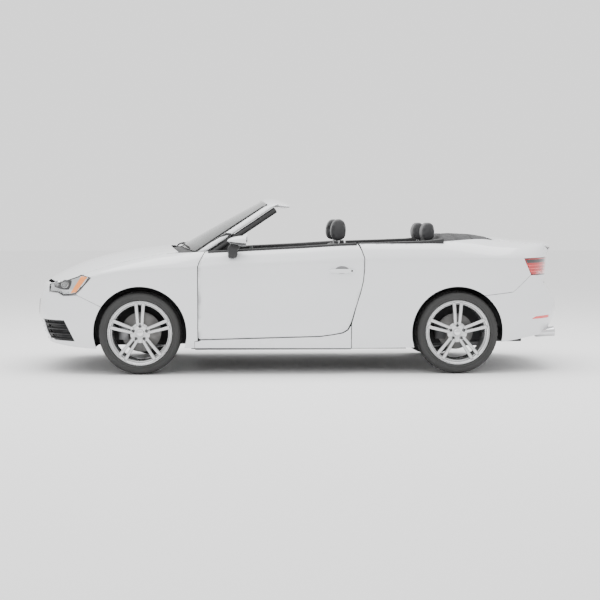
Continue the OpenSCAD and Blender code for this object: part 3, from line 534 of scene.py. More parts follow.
def padding(piece, voxel, cap, edge, pressure=4.0):
    """Rounds, remeshes and blows up a pad with Cloth, capped, and applies the result."""
    alone(piece)
    rounding = piece.modifiers.new("rounding", "BEVEL")
    rounding.width, rounding.segments, rounding.limit_method = edge, 4, "ANGLE"
    bpy.ops.object.modifier_apply(modifier="rounding")
    piece.data.remesh_voxel_size = voxel
    bpy.ops.object.voxel_remesh()
    before = [v.co.copy() for v in piece.data.vertices]
    cloth = piece.modifiers.new("foam", "CLOTH")
    cloth.settings.use_pressure = True
    cloth.settings.uniform_pressure_force = pressure
    cloth.settings.effector_weights.gravity = 0
    cloth.settings.quality = 4
    cloth.point_cache.frame_end = 20
    for step in range(1, 21):
        bpy.context.scene.frame_set(step)
    bpy.ops.object.modifier_apply(modifier="foam")
    bpy.context.scene.frame_set(1)
    for vert, old in zip(piece.data.vertices, before):
        shift = vert.co - old
        if shift.length > cap:
            vert.co = old + shift.normalized() * cap
    relax = piece.modifiers.new("relax", "SMOOTH")
    relax.iterations = 4
    bpy.ops.object.modifier_apply(modifier="relax")
    rounder = piece.modifiers.new("rounder", "SUBSURF")
    rounder.levels = rounder.render_levels = 1
    bpy.ops.object.modifier_apply(modifier="rounder")
    bpy.ops.object.shade_smooth()
    return piece


def channels(piece, depths):
    """Presses sewn channels in: depths gives how far a point goes in, from its place and normal."""
    form = bmesh.new()
    form.from_mesh(piece.data)
    form.normal_update()
    moves = [(v, v.normal * -depths(v.co, v.normal)) for v in form.verts]
    for vert, move in moves:
        vert.co += move
    form.to_mesh(piece.data)
    form.free()


def valley(distance, width):
    """One at the bottom of a channel, falling off to nothing over its width."""
    return math.exp(-((distance / width) ** 2))


CHAIR_Y = 0.37
chair_cushion = slab_of("chair_cushion", [(-0.325, 0.345), (-0.335, 0.425), (-0.295, 0.468), (0.100, 0.442),
    (0.165, 0.470), (0.180, 0.345)], -CHAIR_Y - 0.238, -CHAIR_Y + 0.238)
padding(chair_cushion, 0.010, 0.012, 0.040)
chair_back = slab_of("chair_back", [(0.150, 0.460), (0.200, 0.570), (0.222, 0.760), (0.276, 1.010),
    (0.306, 1.038),
    (0.356, 1.038), (0.382, 1.014), (0.322, 0.760), (0.290, 0.490), (0.240, 0.400)], -CHAIR_Y - 0.236,
    -CHAIR_Y + 0.236)
padding(chair_back, 0.010, 0.012, 0.038)
channels(chair_cushion, lambda p, n: 0.007 * valley(abs(p.y + CHAIR_Y) - 0.150, 0.0045) * max(n.z, 0)
    + (0.004 * valley((p.x + 0.26) % 0.062 - 0.031, 0.006) * max(n.z, 0)
    if abs(p.y + CHAIR_Y) < 0.148 and p.x < 0.12 else 0)
    - 0.012 * max(0, abs(p.y + CHAIR_Y) - 0.155) / 0.08 * max(n.z, 0))
channels(chair_back, lambda p, n: 0.007 * valley(abs(p.y + CHAIR_Y) - 0.145, 0.0045) * max(-n.x, 0)
    + (0.004 * valley(p.z % 0.062 - 0.031, 0.006) * max(-n.x, 0)
    if abs(p.y + CHAIR_Y) < 0.143 and p.z < 0.98 else 0)
    - 0.012 * max(0, abs(p.y + CHAIR_Y) - 0.15) / 0.08 * max(-n.x, 0))
headrest = slab_of("chair_headrest", [(0.272, 1.075), (0.262, 1.120), (0.268, 1.185), (0.288, 1.232),
    (0.328, 1.244),
    (0.368, 1.222), (0.380, 1.160), (0.376, 1.090), (0.345, 1.066), (0.300, 1.062)], -CHAIR_Y - 0.122,
    -CHAIR_Y + 0.122)
padding(headrest, 0.008, 0.008, 0.030)
channels(headrest, lambda p, n: 0.003 * valley(abs(p.y + CHAIR_Y) - 0.088, 0.004)
    + 0.012 * max(0, (abs(p.y + CHAIR_Y) - 0.07) / 0.05) ** 2 * max(-n.x, 0))


def posts(name, x, low, high, ys):
    """The bright steel posts under a headrest, with a flared foot."""
    made = []
    for y in ys:
        bpy.ops.object.select_all(action="DESELECT")
        bpy.ops.mesh.primitive_cylinder_add(vertices=16, radius=0.006, depth=high - low,
            location=(x, y, (low + high) / 2))
        post = bpy.context.object
        bpy.ops.object.transform_apply(location=True, rotation=True, scale=True)
        sliced(post, (0, 0, 1), [(low + high) / 2])
        pick(post, "FACE", lambda c, n: n.z < -0.9)
        bpy.ops.mesh.inset(thickness=0.001)
        bpy.ops.transform.resize(value=(1.9, 1.9, 1))
        made.append(close_up(post))
    piece = joined(made)
    piece.name = piece.data.name = name
    return piece


chair_posts = posts("chair_posts", 0.330, 1.020, 1.100, (-CHAIR_Y - 0.06, -CHAIR_Y + 0.06))
# Chair base: a shell of moulded plastic beside the cushion, with its two floor runners
chair_base = slab_of("chair_base", [(-0.300, 0.235), (-0.318, 0.330), (-0.290, 0.352), (0.190, 0.345),
    (0.275, 0.420),
    (0.268, 0.330), (0.215, 0.240)], -CHAIR_Y - 0.225, -CHAIR_Y + 0.225)
close_up(chair_base, bevel=0.012, segments=3)
runners = []
for y in (-CHAIR_Y - 0.17, -CHAIR_Y + 0.17):
    runners.append(close_up(slab_of("runner", [(-0.28, 0.207), (-0.28, 0.225), (-0.22, 0.242),
        (0.16, 0.242), (0.215, 0.225),
        (0.215, 0.207)], y - 0.02, y + 0.02), bevel=0.004))
across = Matrix.Scale(-1, 4, (0, 1, 0))
for side, turn in (("left", Matrix.Identity(4)), ("right", across)):
    cushion = fit(copied(chair_cushion, f"chair_cushion_{side}", turn), hide, "body", (f"chair_{side}",))
    fit(copied(chair_back, f"chair_back_{side}", turn), hide, "body")
    fit(copied(headrest, f"chair_headrest_{side}", turn), hide, "body")
    fit(copied(chair_posts, f"chair_posts_{side}", turn), chrome, "body")
    fit(copied(chair_base, f"chair_base_{side}", turn), moulding, "body")
    for k, runner in enumerate(runners):
        fit(copied(runner, f"chair_runner_{side}_{k + 1}", turn), primer, "body")
for master in (chair_cushion, chair_back, chair_posts, chair_base, *runners):
    bpy.data.objects.remove(master)

BENCH_HALF = 0.540
bench_cushion = slab_of("bench_cushion", [(0.515, 0.352), (0.502, 0.462), (0.548, 0.508), (0.850, 0.488),
    (0.900, 0.500),
    (0.900, 0.440), (0.830, 0.440), (0.830, 0.352)], -BENCH_HALF, BENCH_HALF)
padding(bench_cushion, 0.012, 0.012, 0.036)
bench_back = slab_of("bench_back", [(0.868, 0.500), (0.942, 0.630), (1.020, 0.995), (1.046, 1.040),
    (1.114, 1.040),
    (1.130, 0.998), (1.052, 0.560), (0.990, 0.448), (0.900, 0.448)], -BENCH_HALF, BENCH_HALF)
padding(bench_back, 0.012, 0.012, 0.034)
channels(bench_cushion, lambda p, n: (0.008 * valley(abs(p.y) - 0.085, 0.0055)
    + 0.006 * valley(abs(p.y) - 0.455, 0.0055)
    + (0.004 * valley((p.x - 0.5) % 0.07 - 0.035, 0.007) if 0.09 < abs(p.y) < 0.45 else 0)
    + 0.010 * valley(abs(p.y) - 0.28, 0.14)) * max(n.z, 0))
channels(bench_back, lambda p, n: (0.008 * valley(abs(p.y) - 0.085, 0.0055)
    + 0.006 * valley(abs(p.y) - 0.455, 0.0055)
    + (0.004 * valley(p.z % 0.07 - 0.035, 0.007) if 0.09 < abs(p.y) < 0.45 else 0)
    + 0.008 * valley(abs(p.y) - 0.28, 0.14)) * max(-n.x, 0))
fit(bench_cushion, hide, "body", ("rear_bench",))
fit(bench_back, hide, "body")
for side, y in (("left", -0.33), ("right", 0.33)):
    rest = copied(headrest, f"bench_headrest_{side}", Matrix.Translation((1.070, y, 1.138))
        @ Matrix.Diagonal((0.86, 0.98, 0.84, 1))
        @ Matrix.Translation((-0.322, CHAIR_Y, -1.153)))
    fit(rest, hide, "body")
    fit(posts(f"bench_posts_{side}", 1.075, 1.030, 1.085, (y - 0.055, y + 0.055)), chrome, "body")
bpy.data.objects.remove(headrest)

# -- Cabin mouldings --------------------------------------------------------------------
# The dashboard, console and side walls are moulded in soft charcoal plastic over foam,
# with a hood over the dials and plain bright rings round the air vents.
trim = finish("soft_moulding", (0.022, 0.022, 0.024), (0.03, 0.03, 0.032), (0.5, 0.65), drift=5,
    relief=pebbled,
    scale=620.0, depth=0.0003, strength=0.35)
gloss = finish("gloss_black", (0.008, 0.008, 0.009), (0.012, 0.012, 0.013), (0.06, 0.14), drift=9,
    scale=700.0,
    depth=0.00002, strength=0.05, Coat_Weight=0.8)
dress("dashboard", trim)
dress("cabin_trim", trim)


def block(name, low, high):
    """A cube primitive put at its size and place."""
    bpy.ops.object.select_all(action="DESELECT")
    bpy.ops.mesh.primitive_cube_add(size=1, location=[(a + b) / 2 for a, b in zip(low, high)])
    piece = bpy.context.object
    piece.name = piece.data.name = name
    piece.scale = [b - a for a, b in zip(low, high)]
    bpy.ops.object.transform_apply(location=True, rotation=True, scale=True)
    return piece


hood = slab_of("dial_hood", [(-0.640, 0.978), (-0.560, 1.020), (-0.505, 1.024), (-0.487, 1.008),
    (-0.500, 0.930),
    (-0.560, 0.960)], -0.540, -0.200)
pick(hood, "FACE", lambda c, n: abs(n.y) > 0.9)
bpy.ops.transform.resize(value=(0.75, 1, 0.7), center_override=(-0.60, -0.37, 0.965))
close_up(hood, bevel=0.012, segments=4, angle=50)
fit(hood, trim, "body")
for k, y in enumerate((-0.435, -0.305)):
    dial = turned(f"dial_{k + 1}", [(0.0001, 0.000), (0.040, 0.000), (0.043, 0.004), (0.046, 0.006),
        (0.049, 0.004), (0.050, -0.006),
        (0.0001, -0.006)], steps=48)
    close_up(dial)
    dial.data.transform(Matrix.Translation((-0.499, y, 0.945)) @ Matrix.Rotation(math.radians(-20), 4, "Y")
        @ Matrix.Rotation(math.radians(90), 4, "Z"))
    fit(dial, gloss, "body")
screen = block("centre_screen", (-0.508, -0.095, 0.950), (-0.494, 0.095, 1.040))
sunk(screen, lambda c, n: n.x > 0.9, 0.006, (-0.003, 0, 0))
fit(close_up(screen, bevel=0.0025), gloss, "body")
for k, y in enumerate((-0.625, -0.085, 0.085, 0.625)):
    vent = turned(f"air_vent_{k + 1}", [(0.030, 0.000), (0.033, 0.005), (0.038, 0.006), (0.042, 0.003),
        (0.042, -0.012),
        (0.030, -0.012)], steps=40)
    close_up(vent)
    stand = Matrix.Translation((-0.492, y, 0.885)) @ Matrix.Rotation(math.radians(90), 4, "Z")
    vent.data.transform(stand)
    fit(vent, chrome, "body")
    blades = block(f"vent_blades_{k + 1}", (-0.031, -0.006, -0.031), (0.031, 0.012, 0.031))
    sliced(blades, (0, 0, 1), (-0.022, -0.014, -0.006, 0.002, 0.010, 0.018, 0.026))
    pick(blades, "FACE", lambda c, n: n.y < -0.9 and int((c.z + 0.04) / 0.008) % 2 == 0)
    bpy.ops.transform.translate(value=(0, 0.007, 0))
    close_up(blades, bevel=0.0008, segments=1)
    blades.data.transform(stand)
    fit(blades, moulding, "body")
console = slab_of("console_top", [(-0.300, 0.545), (-0.260, 0.560), (-0.080, 0.540), (-0.060, 0.526),
    (0.020, 0.524), (0.060, 0.560),
    (0.100, 0.566), (0.400, 0.566), (0.418, 0.545), (0.418, 0.515), (-0.290, 0.515)], -0.086, 0.086)
close_up(console, bevel=0.010, segments=4, angle=50)
fit(console, hide, "body")
lever = turned("gear_lever", [(0.0001, 0.110), (0.012, 0.108), (0.020, 0.100), (0.023, 0.086),
    (0.019, 0.070), (0.010, 0.062),
    (0.008, 0.040), (0.020, 0.020), (0.042, 0.004), (0.050, 0.000), (0.0001, 0.000)], steps=36)
close_up(lever, angle=50)
lever.data.transform(Matrix.Translation((-0.170, 0, 0.545)) @ Matrix.Rotation(math.radians(-90), 4, "X"))
fit(lever, gloss, "body")
carpet = finish("charcoal_carpet", (0.012, 0.012, 0.013), (0.03, 0.03, 0.032), (0.9, 1.0), drift=90,
    scale=1400.0,
    depth=0.001, strength=0.8, Sheen_Weight=0.4)
for side, y in (("left", -0.38), ("right", 0.38)):
    for row, (front, back) in (("front", (-0.80, -0.33)), ("rear", (0.28, 0.50))):
        mat = block(f"mat_{row}_{side}", (front, y - 0.21, 0.207), (back, y + 0.21, 0.215))
        sunk(mat, lambda c, n: n.z > 0.9, 0.012, (0, 0, -0.002))
        fit(close_up(mat, bevel=0.002, segments=2), carpet, "body")

# -- Steering wheel ---------------------------------------------------------------------
# A steel ring foamed over and stitched in hide, on three spokes with bright faces round a
# padded boss. It turns on the column that comes out of the dashboard.
HELM = Matrix.Translation((-0.330, -CHAIR_Y, 0.850)) @ Matrix.Rotation(math.radians(65), 4, "Y")
bpy.ops.object.select_all(action="DESELECT")
bpy.ops.mesh.primitive_torus_add(major_radius=0.171, minor_radius=0.0138, major_segments=96,
    minor_segments=18)
ring = bpy.context.object
ring.name = ring.data.name = "helm_ring"
channels(ring, lambda p, n: 0.0022 * (valley((math.degrees(math.atan2(p.y, p.x)) % 90) - 45, 2.0))
    + 0.0006 * math.sin(
    8 * math.atan2(p.y, p.x)))
bpy.ops.object.shade_smooth()
ring.data.transform(HELM)
fit(ring, hide, "steering_wheel", ("steering_wheel",))
boss = turned("helm_boss", [(0.0001, 0.016), (0.030, 0.015), (0.052, 0.009), (0.064, -0.002),
    (0.067, -0.016), (0.060, -0.030),
    (0.022, -0.034), (0.018, -0.105), (0.0001, -0.105)], steps=48)
close_up(boss, angle=50)
boss.data.transform(HELM @ Matrix.Rotation(math.radians(-90), 4, "X") @ Matrix.Rotation(math.pi, 4, "X"))
fit(boss, hide, "steering_wheel")
for k, angle in enumerate((-90, 0, 90)):
    arm = block(f"helm_spoke_{k + 1}", (0.052, -0.017, -0.010), (0.166, 0.017, 0.003))
    sliced(arm, (1, 0, 0), (0.080, 0.110, 0.140))
    sunk(arm, lambda c, n: n.z > 0.9 and 0.08 < c.x < 0.14, 0.004, (0, 0, -0.003))
    close_up(arm, bevel=0.003, segments=3)
    arm.data.transform(HELM @ Matrix.Rotation(math.radians(angle), 4, "Z"))
    fit(arm, alloy, "steering_wheel")

# -- Headlamps --------------------------------------------------------------------------
# A silvered housing under a clear plastic cover: a dark bay with a round projector, a
# light strip below it, an amber block at the rear and a black seal all round.
def skin_of(*names):
    """A search tree over the outside of one or more nodes."""
    points, faces = [], []
    for name in names:
        base = len(points)
        points += [v.co.copy() for v in nodes[name].data.vertices]
        faces += [[base + k for k in polygon.vertices] for polygon in nodes[name].data.polygons]
    return BVHTree.FromPolygons(points, faces)


def on_skin(skin, spot, way=(0, 1, 0), out=0.0):
    """Where a line from outside through spot meets the skin, lifted by out."""
    way = Vector(way)
    start = Vector(spot) - way * 3
    hit, normal, _, _ = skin.ray_cast(start, way)
    if hit is None:
        hit, normal, _, _ = skin.find_nearest(Vector(spot))
    if normal.dot(way) > 0:
        normal = -normal
    return hit + normal * out


def patch(name, skin, corners, counts, out, thick, way=(0, 1, 0), round_off=0.0):
    """A plate laid on the skin: four corners (x, y, z), given in order round its edge."""
    bpy.ops.object.select_all(action="DESELECT")
    bpy.ops.mesh.primitive_grid_add(x_subdivisions=counts[0], y_subdivisions=counts[1], size=2)
    piece = bpy.context.object
    piece.name = piece.data.name = name
    a, b, c, d = (Vector(corner) for corner in corners)
    for vert in piece.data.vertices:
        u, v = (vert.co.x + 1) / 2, (vert.co.y + 1) / 2
        if round_off:
            du, dv = 2 * u - 1, 2 * v - 1
            u = (1 + du * math.sqrt(1 - round_off * dv * dv / 2)) / 2
            v = (1 + dv * math.sqrt(1 - round_off * du * du / 2)) / 2
        vert.co = on_skin(skin, (a * (1 - u) + b * u) * (1 - v) + (d * (1 - u) + c * u) * v, way, out)
    alone(piece)
    bpy.ops.object.mode_set(mode="EDIT")
    bpy.ops.mesh.select_all(action="SELECT")
    bpy.ops.mesh.normals_make_consistent(inside=False)
    form = bmesh.from_edit_mesh(piece.data)
    if sum(f.normal.dot(Vector(way)) for f in form.faces) > 0:
        bpy.ops.mesh.flip_normals()
    bpy.ops.object.mode_set(mode="OBJECT")
    wall = piece.modifiers.new("wall", "SOLIDIFY")
    wall.thickness, wall.offset = thick, -1
    bpy.ops.object.modifier_apply(modifier="wall")
    return close_up(piece, bevel=min(thick * 0.3, 0.0015), segments=2, angle=40)


def beading(name, points, radius, closed=False):
    """A bead, seal or tube swept along points, as a closed mesh."""
    data = bpy.data.curves.new(name, "CURVE")
    data.dimensions = "3D"
    data.bevel_depth, data.bevel_resolution, data.use_fill_caps = radius, 3, True
    line = data.splines.new("POLY")
    line.points.add(len(points) - 1)
    for point, place in zip(line.points, points):
        point.co = (*place, 1)
    line.use_cyclic_u = closed
    piece = bpy.data.objects.new(name, data)
    bpy.context.scene.collection.objects.link(piece)
    alone(piece)
    bpy.ops.object.convert(target="MESH")
    piece = bpy.context.object
    piece.name = piece.data.name = name
    bpy.ops.object.mode_set(mode="EDIT")
    bpy.ops.mesh.select_all(action="SELECT")
    bpy.ops.mesh.remove_doubles(threshold=0.00001)
    bpy.ops.mesh.normals_make_consistent(inside=False)
    return close_up(piece, angle=50)


def along(corners, step=0.02, closed=False):
    """Points at short steps along straight stretches between corners."""
    ring = list(corners) + ([corners[0]] if closed else [])
    points = []
    for a, b in zip(ring, ring[1:]):
        a, b = Vector(a), Vector(b)
        count = max(1, round((b - a).length / step))
        points += [a.lerp(b, k / count) for k in range(count)]
    return points if closed else points + [Vector(ring[-1])]


silvering = finish("lamp_silvering", (0.55, 0.56, 0.57), (0.42, 0.43, 0.44), (0.1, 0.2), drift=16,
    scale=300.0,
    depth=0.0002, strength=0.2, Metallic=0.85, Coat_Weight=1.0, Coat_Roughness=0.02)
amber = finish("amber_lens", (0.95, 0.30, 0.05), (0.90, 0.26, 0.04), (0.12, 0.2), drift=20, relief=pebbled,
    scale=220.0,
    depth=0.0006, strength=0.4, Coat_Weight=1.0, Coat_Roughness=0.03)
clear = finish("clear_lens", (0.9, 0.92, 0.93), (0.86, 0.88, 0.9), (0.03, 0.06), drift=20, scale=200.0,
    depth=0.0001, strength=0.1, Transmission_Weight=0.85, Coat_Weight=1.0, Coat_Roughness=0.02)
dress("headlamps", silvering)
lamp_skin = skin_of("headlamps")
SIDES = (("left", -1), ("right", 1))
# A level on the car's flank, where rays to its skin are aimed
FLANK = 0.8
# The lamp cover's edge: x, z
LAMP_EDGE = [(-2.030, 0.660), (-2.028, 0.730), (-2.020, 0.765), (-1.985, 0.781), (-1.880, 0.790),
    (-1.760, 0.790),
    (-1.712, 0.786), (-1.686, 0.770), (-1.735, 0.708), (-1.800, 0.646), (-1.860, 0.634), (-1.905, 0.631),
    (-1.950, 0.655)]
for side, sign in SIDES:
    way = (0, -sign, 0)
    edge = [on_skin(lamp_skin, (x, sign * FLANK, z), way, 0.001) for x, _,
        z in along([(x, 0, z) for x, z in LAMP_EDGE], 0.02, True)]
    fit(beading(f"headlamp_seal_{side}", edge, 0.0055, closed=True), gloss, "body")
    y = sign * FLANK
    bay = patch(f"headlamp_bay_{side}", lamp_skin, [(-1.992, y, 0.690), (-1.850, y, 0.668),
        (-1.822, y, 0.768), (-1.980, y, 0.762)],
        (12, 8), 0.0012, 0.002, way, 0.5)
    fit(bay, gloss, "body")
    block_lens = patch(f"headlamp_amber_{side}", lamp_skin, [(-1.842, y, 0.648), (-1.796, y, 0.657),
        (-1.703, y, 0.777),
        (-1.752, y, 0.783)], (8, 12), 0.003, 0.0035, way)
    fit(block_lens, amber, "body")
    strip = [on_skin(lamp_skin, (x, y, z), way, 0.003) for x, _,
        z in along([(-2.005, 0, 0.672), (-1.955, 0, 0.672), (-1.905, 0, 0.650),
        (-1.860, 0, 0.652)], 0.01)]
    fit(beading(f"headlamp_strip_{side}", strip, 0.005), clear, "body")
    for k, (x, z, size) in enumerate(((-1.888, 0.722, 0.030), (-1.955, 0.724, 0.020))):
        middle = on_skin(lamp_skin, (x, y, z), way)
        facing = (middle - on_skin(lamp_skin, (x, y, z), way, -0.01)).normalized()
        seat = Matrix.Translation(middle + facing * 0.001) @ facing.to_track_quat("-Y",
            "Z").to_matrix().to_4x4()
        bowl = turned(f"headlamp_bowl_{side}_{k + 1}", [(size, 0.000), (size * 1.04, 0.004),
            (size * 1.14, 0.005), (size * 1.2, 0.001),
            (size * 1.2, -0.006), (size, -0.006)], steps=36)
        close_up(bowl).data.transform(seat)
        fit(bowl, chrome, "body")
        eye = turned(f"headlamp_eye_{side}_{k + 1}", [(0.0001, size * 0.42), (size * 0.4, size * 0.38),
            (size * 0.75, size * 0.22),
            (size * 0.98, 0.000), (size * 0.98, -0.005), (0.0001, -0.005)], steps=36)
        close_up(eye, angle=60).data.transform(seat)
        fit(eye, clear, "body")

# -- Tail lamps and reflectors ----------------------------------------------------------
# Red plastic covers wrapped round the corners, with light bars behind and a black band above them,
# and a narrow red reflector let into each side of the bumper.
red = finish("red_lens", (0.55, 0.010, 0.016), (0.42, 0.006, 0.010), (0.08, 0.14), drift=14,
    relief=pebbled, scale=260.0,
    depth=0.0004, strength=0.25, Coat_Weight=1.0, Coat_Roughness=0.03)
bright_red = finish("lit_red", (0.85, 0.05, 0.05), (0.7, 0.03, 0.035), (0.1, 0.18), drift=20,
    relief=pebbled, scale=200.0,
    depth=0.0005, strength=0.4, Coat_Weight=1.0, Coat_Roughness=0.03)
dress("tail_lamps", red)
tail_skin = skin_of("tail_lamps")
bumper_skin = skin_of("rear_bumper")
for side, sign in SIDES:
    way = (0, -sign, 0)
    y = sign * FLANK
    for k, height in enumerate((0.815, 0.838, 0.862)):
        front = 1.852 - 0.11 * (height - 0.815) / 0.1
        bar = [on_skin(tail_skin, (x, y, z), way, 0.001) for x, _,
            z in along([(front, 0, height), (2.015, 0, height + 0.008)], 0.012)]
        fit(beading(f"tail_light_bar_{side}_{k + 1}", bar, 0.0045), bright_red, "body")
    shade = patch(f"tail_lamp_shade_{side}", tail_skin, [(1.828, y, 0.884), (2.020, y, 0.890),
        (2.020, y, 0.916), (1.812, y, 0.912)],
        (12, 4), 0.0012, 0.002, way)
    fit(shade, gloss, "body")
    reflector = patch(f"reflector_{side}", bumper_skin, [(1.868, y, 0.432), (2.035, y, 0.436),
        (2.035, y, 0.458), (1.905, y, 0.452)],
        (14, 4), 0.002, 0.003, way)
    fit(reflector, bright_red, "body")

# -- Door handles -----------------------------------------------------------------------
# A painted pull on two feet over a shallow hollow in the door skin, one on each door, with a bare lock
# behind it. The hollow carries a thin grey patch in the cast-metal finish: painted shade for the shadow
# under the pull.
HANDLE_X = 0.322
for side, sign in SIDES:
    body = f"door_{side}"
    door_skin = skin_of(body)
    way = (0, -sign, 0)
    middle = on_skin(door_skin, (HANDLE_X, sign * FLANK, 0.828), way)
    handle = block(f"door_handle_{side}", (0.2205, -0.026, 0.8105), (0.4235, -0.013, 0.8425))
    sliced(handle, (1, 0, 0), (0.236, 0.256, 0.290, HANDLE_X, 0.354, 0.388, 0.408))
    bpy.ops.object.mode_set(mode="OBJECT")
    for vert in handle.data.vertices:
        share = abs(vert.co.x - HANDLE_X) / 0.1015
        vert.co.z = 0.8265 + (vert.co.z - 0.8265) * (1 - 0.55 * share ** 4)
        vert.co.y += 0.006 * share ** 2 + (0.018 if share > 0.8 and vert.co.y > -0.02 else 0)
    close_up(handle, bevel=0.004, segments=3, smooth_levels=1, angle=60)
    handle.data.transform(Matrix.Translation((0, middle.y, 0)) @ Matrix.Diagonal((1, -sign, 1, 1)))
    if sign > 0:
        handle.data.flip_normals()
    fit(handle, paint, body)
    # Grey patch in the hollow: painted shade for the shadow under the handle, not metal
    recess_shade = patch(f"handle_recess_shade_{side}", door_skin, [(0.268, sign * FLANK, 0.806),
        (0.376, sign * FLANK, 0.806),
        (0.376, sign * FLANK, 0.866), (0.268, sign * FLANK, 0.866)], (16, 12), 0.0004, 0.001, way, 1.0)
    fit(recess_shade, cast_metal, body)
    lock = turned(f"door_lock_{side}", [(0.0001, 0.002), (0.006, 0.002), (0.0075, 0.001), (0.008, -0.002),
        (0.0001, -0.002)], steps=24)
    close_up(lock).data.transform(Matrix.Translation((0.400, middle.y + sign * 0.0245, 0.828))
        @ Matrix.Rotation(
        0 if sign < 0 else math.pi, 4, "Z"))
    fit(lock, dark_steel, body)

# -- Door mirrors -----------------------------------------------------------------------
# A painted cap over a black housing with a silvered glass at the rear, on a foot that is
# bolted to the door below the window line.
MIRROR_X, MIRROR_Y, MIRROR_Z = -0.470, -0.943, 1.0655
for side, sign in SIDES:
    body = f"door_{side}"
    flip = Matrix.Diagonal((1, -sign, 1, 1))
    bpy.ops.object.select_all(action="DESELECT")
    bpy.ops.mesh.primitive_uv_sphere_add(segments=48, ring_count=28, radius=1, location=(0, 0, 0))
    shell = bpy.context.object
    shell.name = shell.data.name = f"mirror_cap_{side}"
    for vert in shell.data.vertices:
        x, y, z = vert.co
        vert.co = (MIRROR_X + 0.118 * x, MIRROR_Y + 0.0585 * y * (1 - 0.12 * x),
            MIRROR_Z + 0.0420 * z * (1 + 0.10 * x))
    bpy.ops.object.mode_set(mode="EDIT")
    bpy.ops.mesh.select_all(action="SELECT")
    bpy.ops.mesh.bisect(plane_co=(-0.440, 0, 0), plane_no=(1, 0, 0), clear_outer=True, use_fill=True)
    sunk(shell, lambda c, n: n.x > 0.95 and c.x > -0.445, 0.004, (-0.006, 0, 0))
    bpy.ops.object.mode_set(mode="OBJECT")
    housing = copied(shell, f"mirror_housing_{side}", Matrix.Translation((MIRROR_X, MIRROR_Y, MIRROR_Z))
        @ Matrix.Diagonal((0.985, 0.985, 0.975, 1))
        @ Matrix.Translation((-MIRROR_X, -MIRROR_Y, -MIRROR_Z)))
    alone(shell)
    bpy.ops.object.mode_set(mode="EDIT")
    bpy.ops.mesh.select_all(action="SELECT")
    bpy.ops.mesh.bisect(plane_co=(MIRROR_X, MIRROR_Y, 1.052), plane_no=(-0.10, 0, -1), clear_outer=True,
        use_fill=True)
    close_up(shell, bevel=0.0015, segments=2, angle=40).data.transform(flip)
    close_up(housing, angle=40).data.transform(flip)
    silver = turned(f"mirror_glass_{side}", [(0.0001, 0.0), (0.5, 0.0), (0.97, 0.0), (1.0, -0.03),
        (0.97, -0.06), (0.0001, -0.06)], steps=48)
    silver.data.transform(Matrix.Translation((-0.4445, MIRROR_Y, MIRROR_Z))
        @ Matrix.Diagonal((1, 0.049, 0.034, 1))
        @ Matrix.Rotation(math.radians(90), 4, "Z") @ Matrix.Diagonal((1, 0.04, 1, 1)))
    close_up(silver).data.transform(flip)
    foot = slab_of(f"mirror_foot_{side}", [(-0.585, 0.928), (-0.590, 1.010), (-0.565, 1.045),
        (-0.480, 1.045), (-0.470, 1.028),
        (-0.505, 0.990), (-0.512, 0.932), (-0.545, 0.918)], -0.915, -0.848)
    pick(foot, "FACE", lambda c, n: n.y < -0.9)
    bpy.ops.transform.resize(value=(0.86, 1, 0.9), center_override=(-0.53, -0.915, 1.045))
    close_up(foot, bevel=0.008, segments=3, angle=50).data.transform(flip)
    for piece in (shell, housing, silver, foot):
        if sign > 0:
            piece.data.flip_normals()
    fit(shell, paint, body, (f"mirror_{side}",))
    fit(housing, gloss, body)
    fit(silver, chrome, body)
    fit(foot, moulding, body)

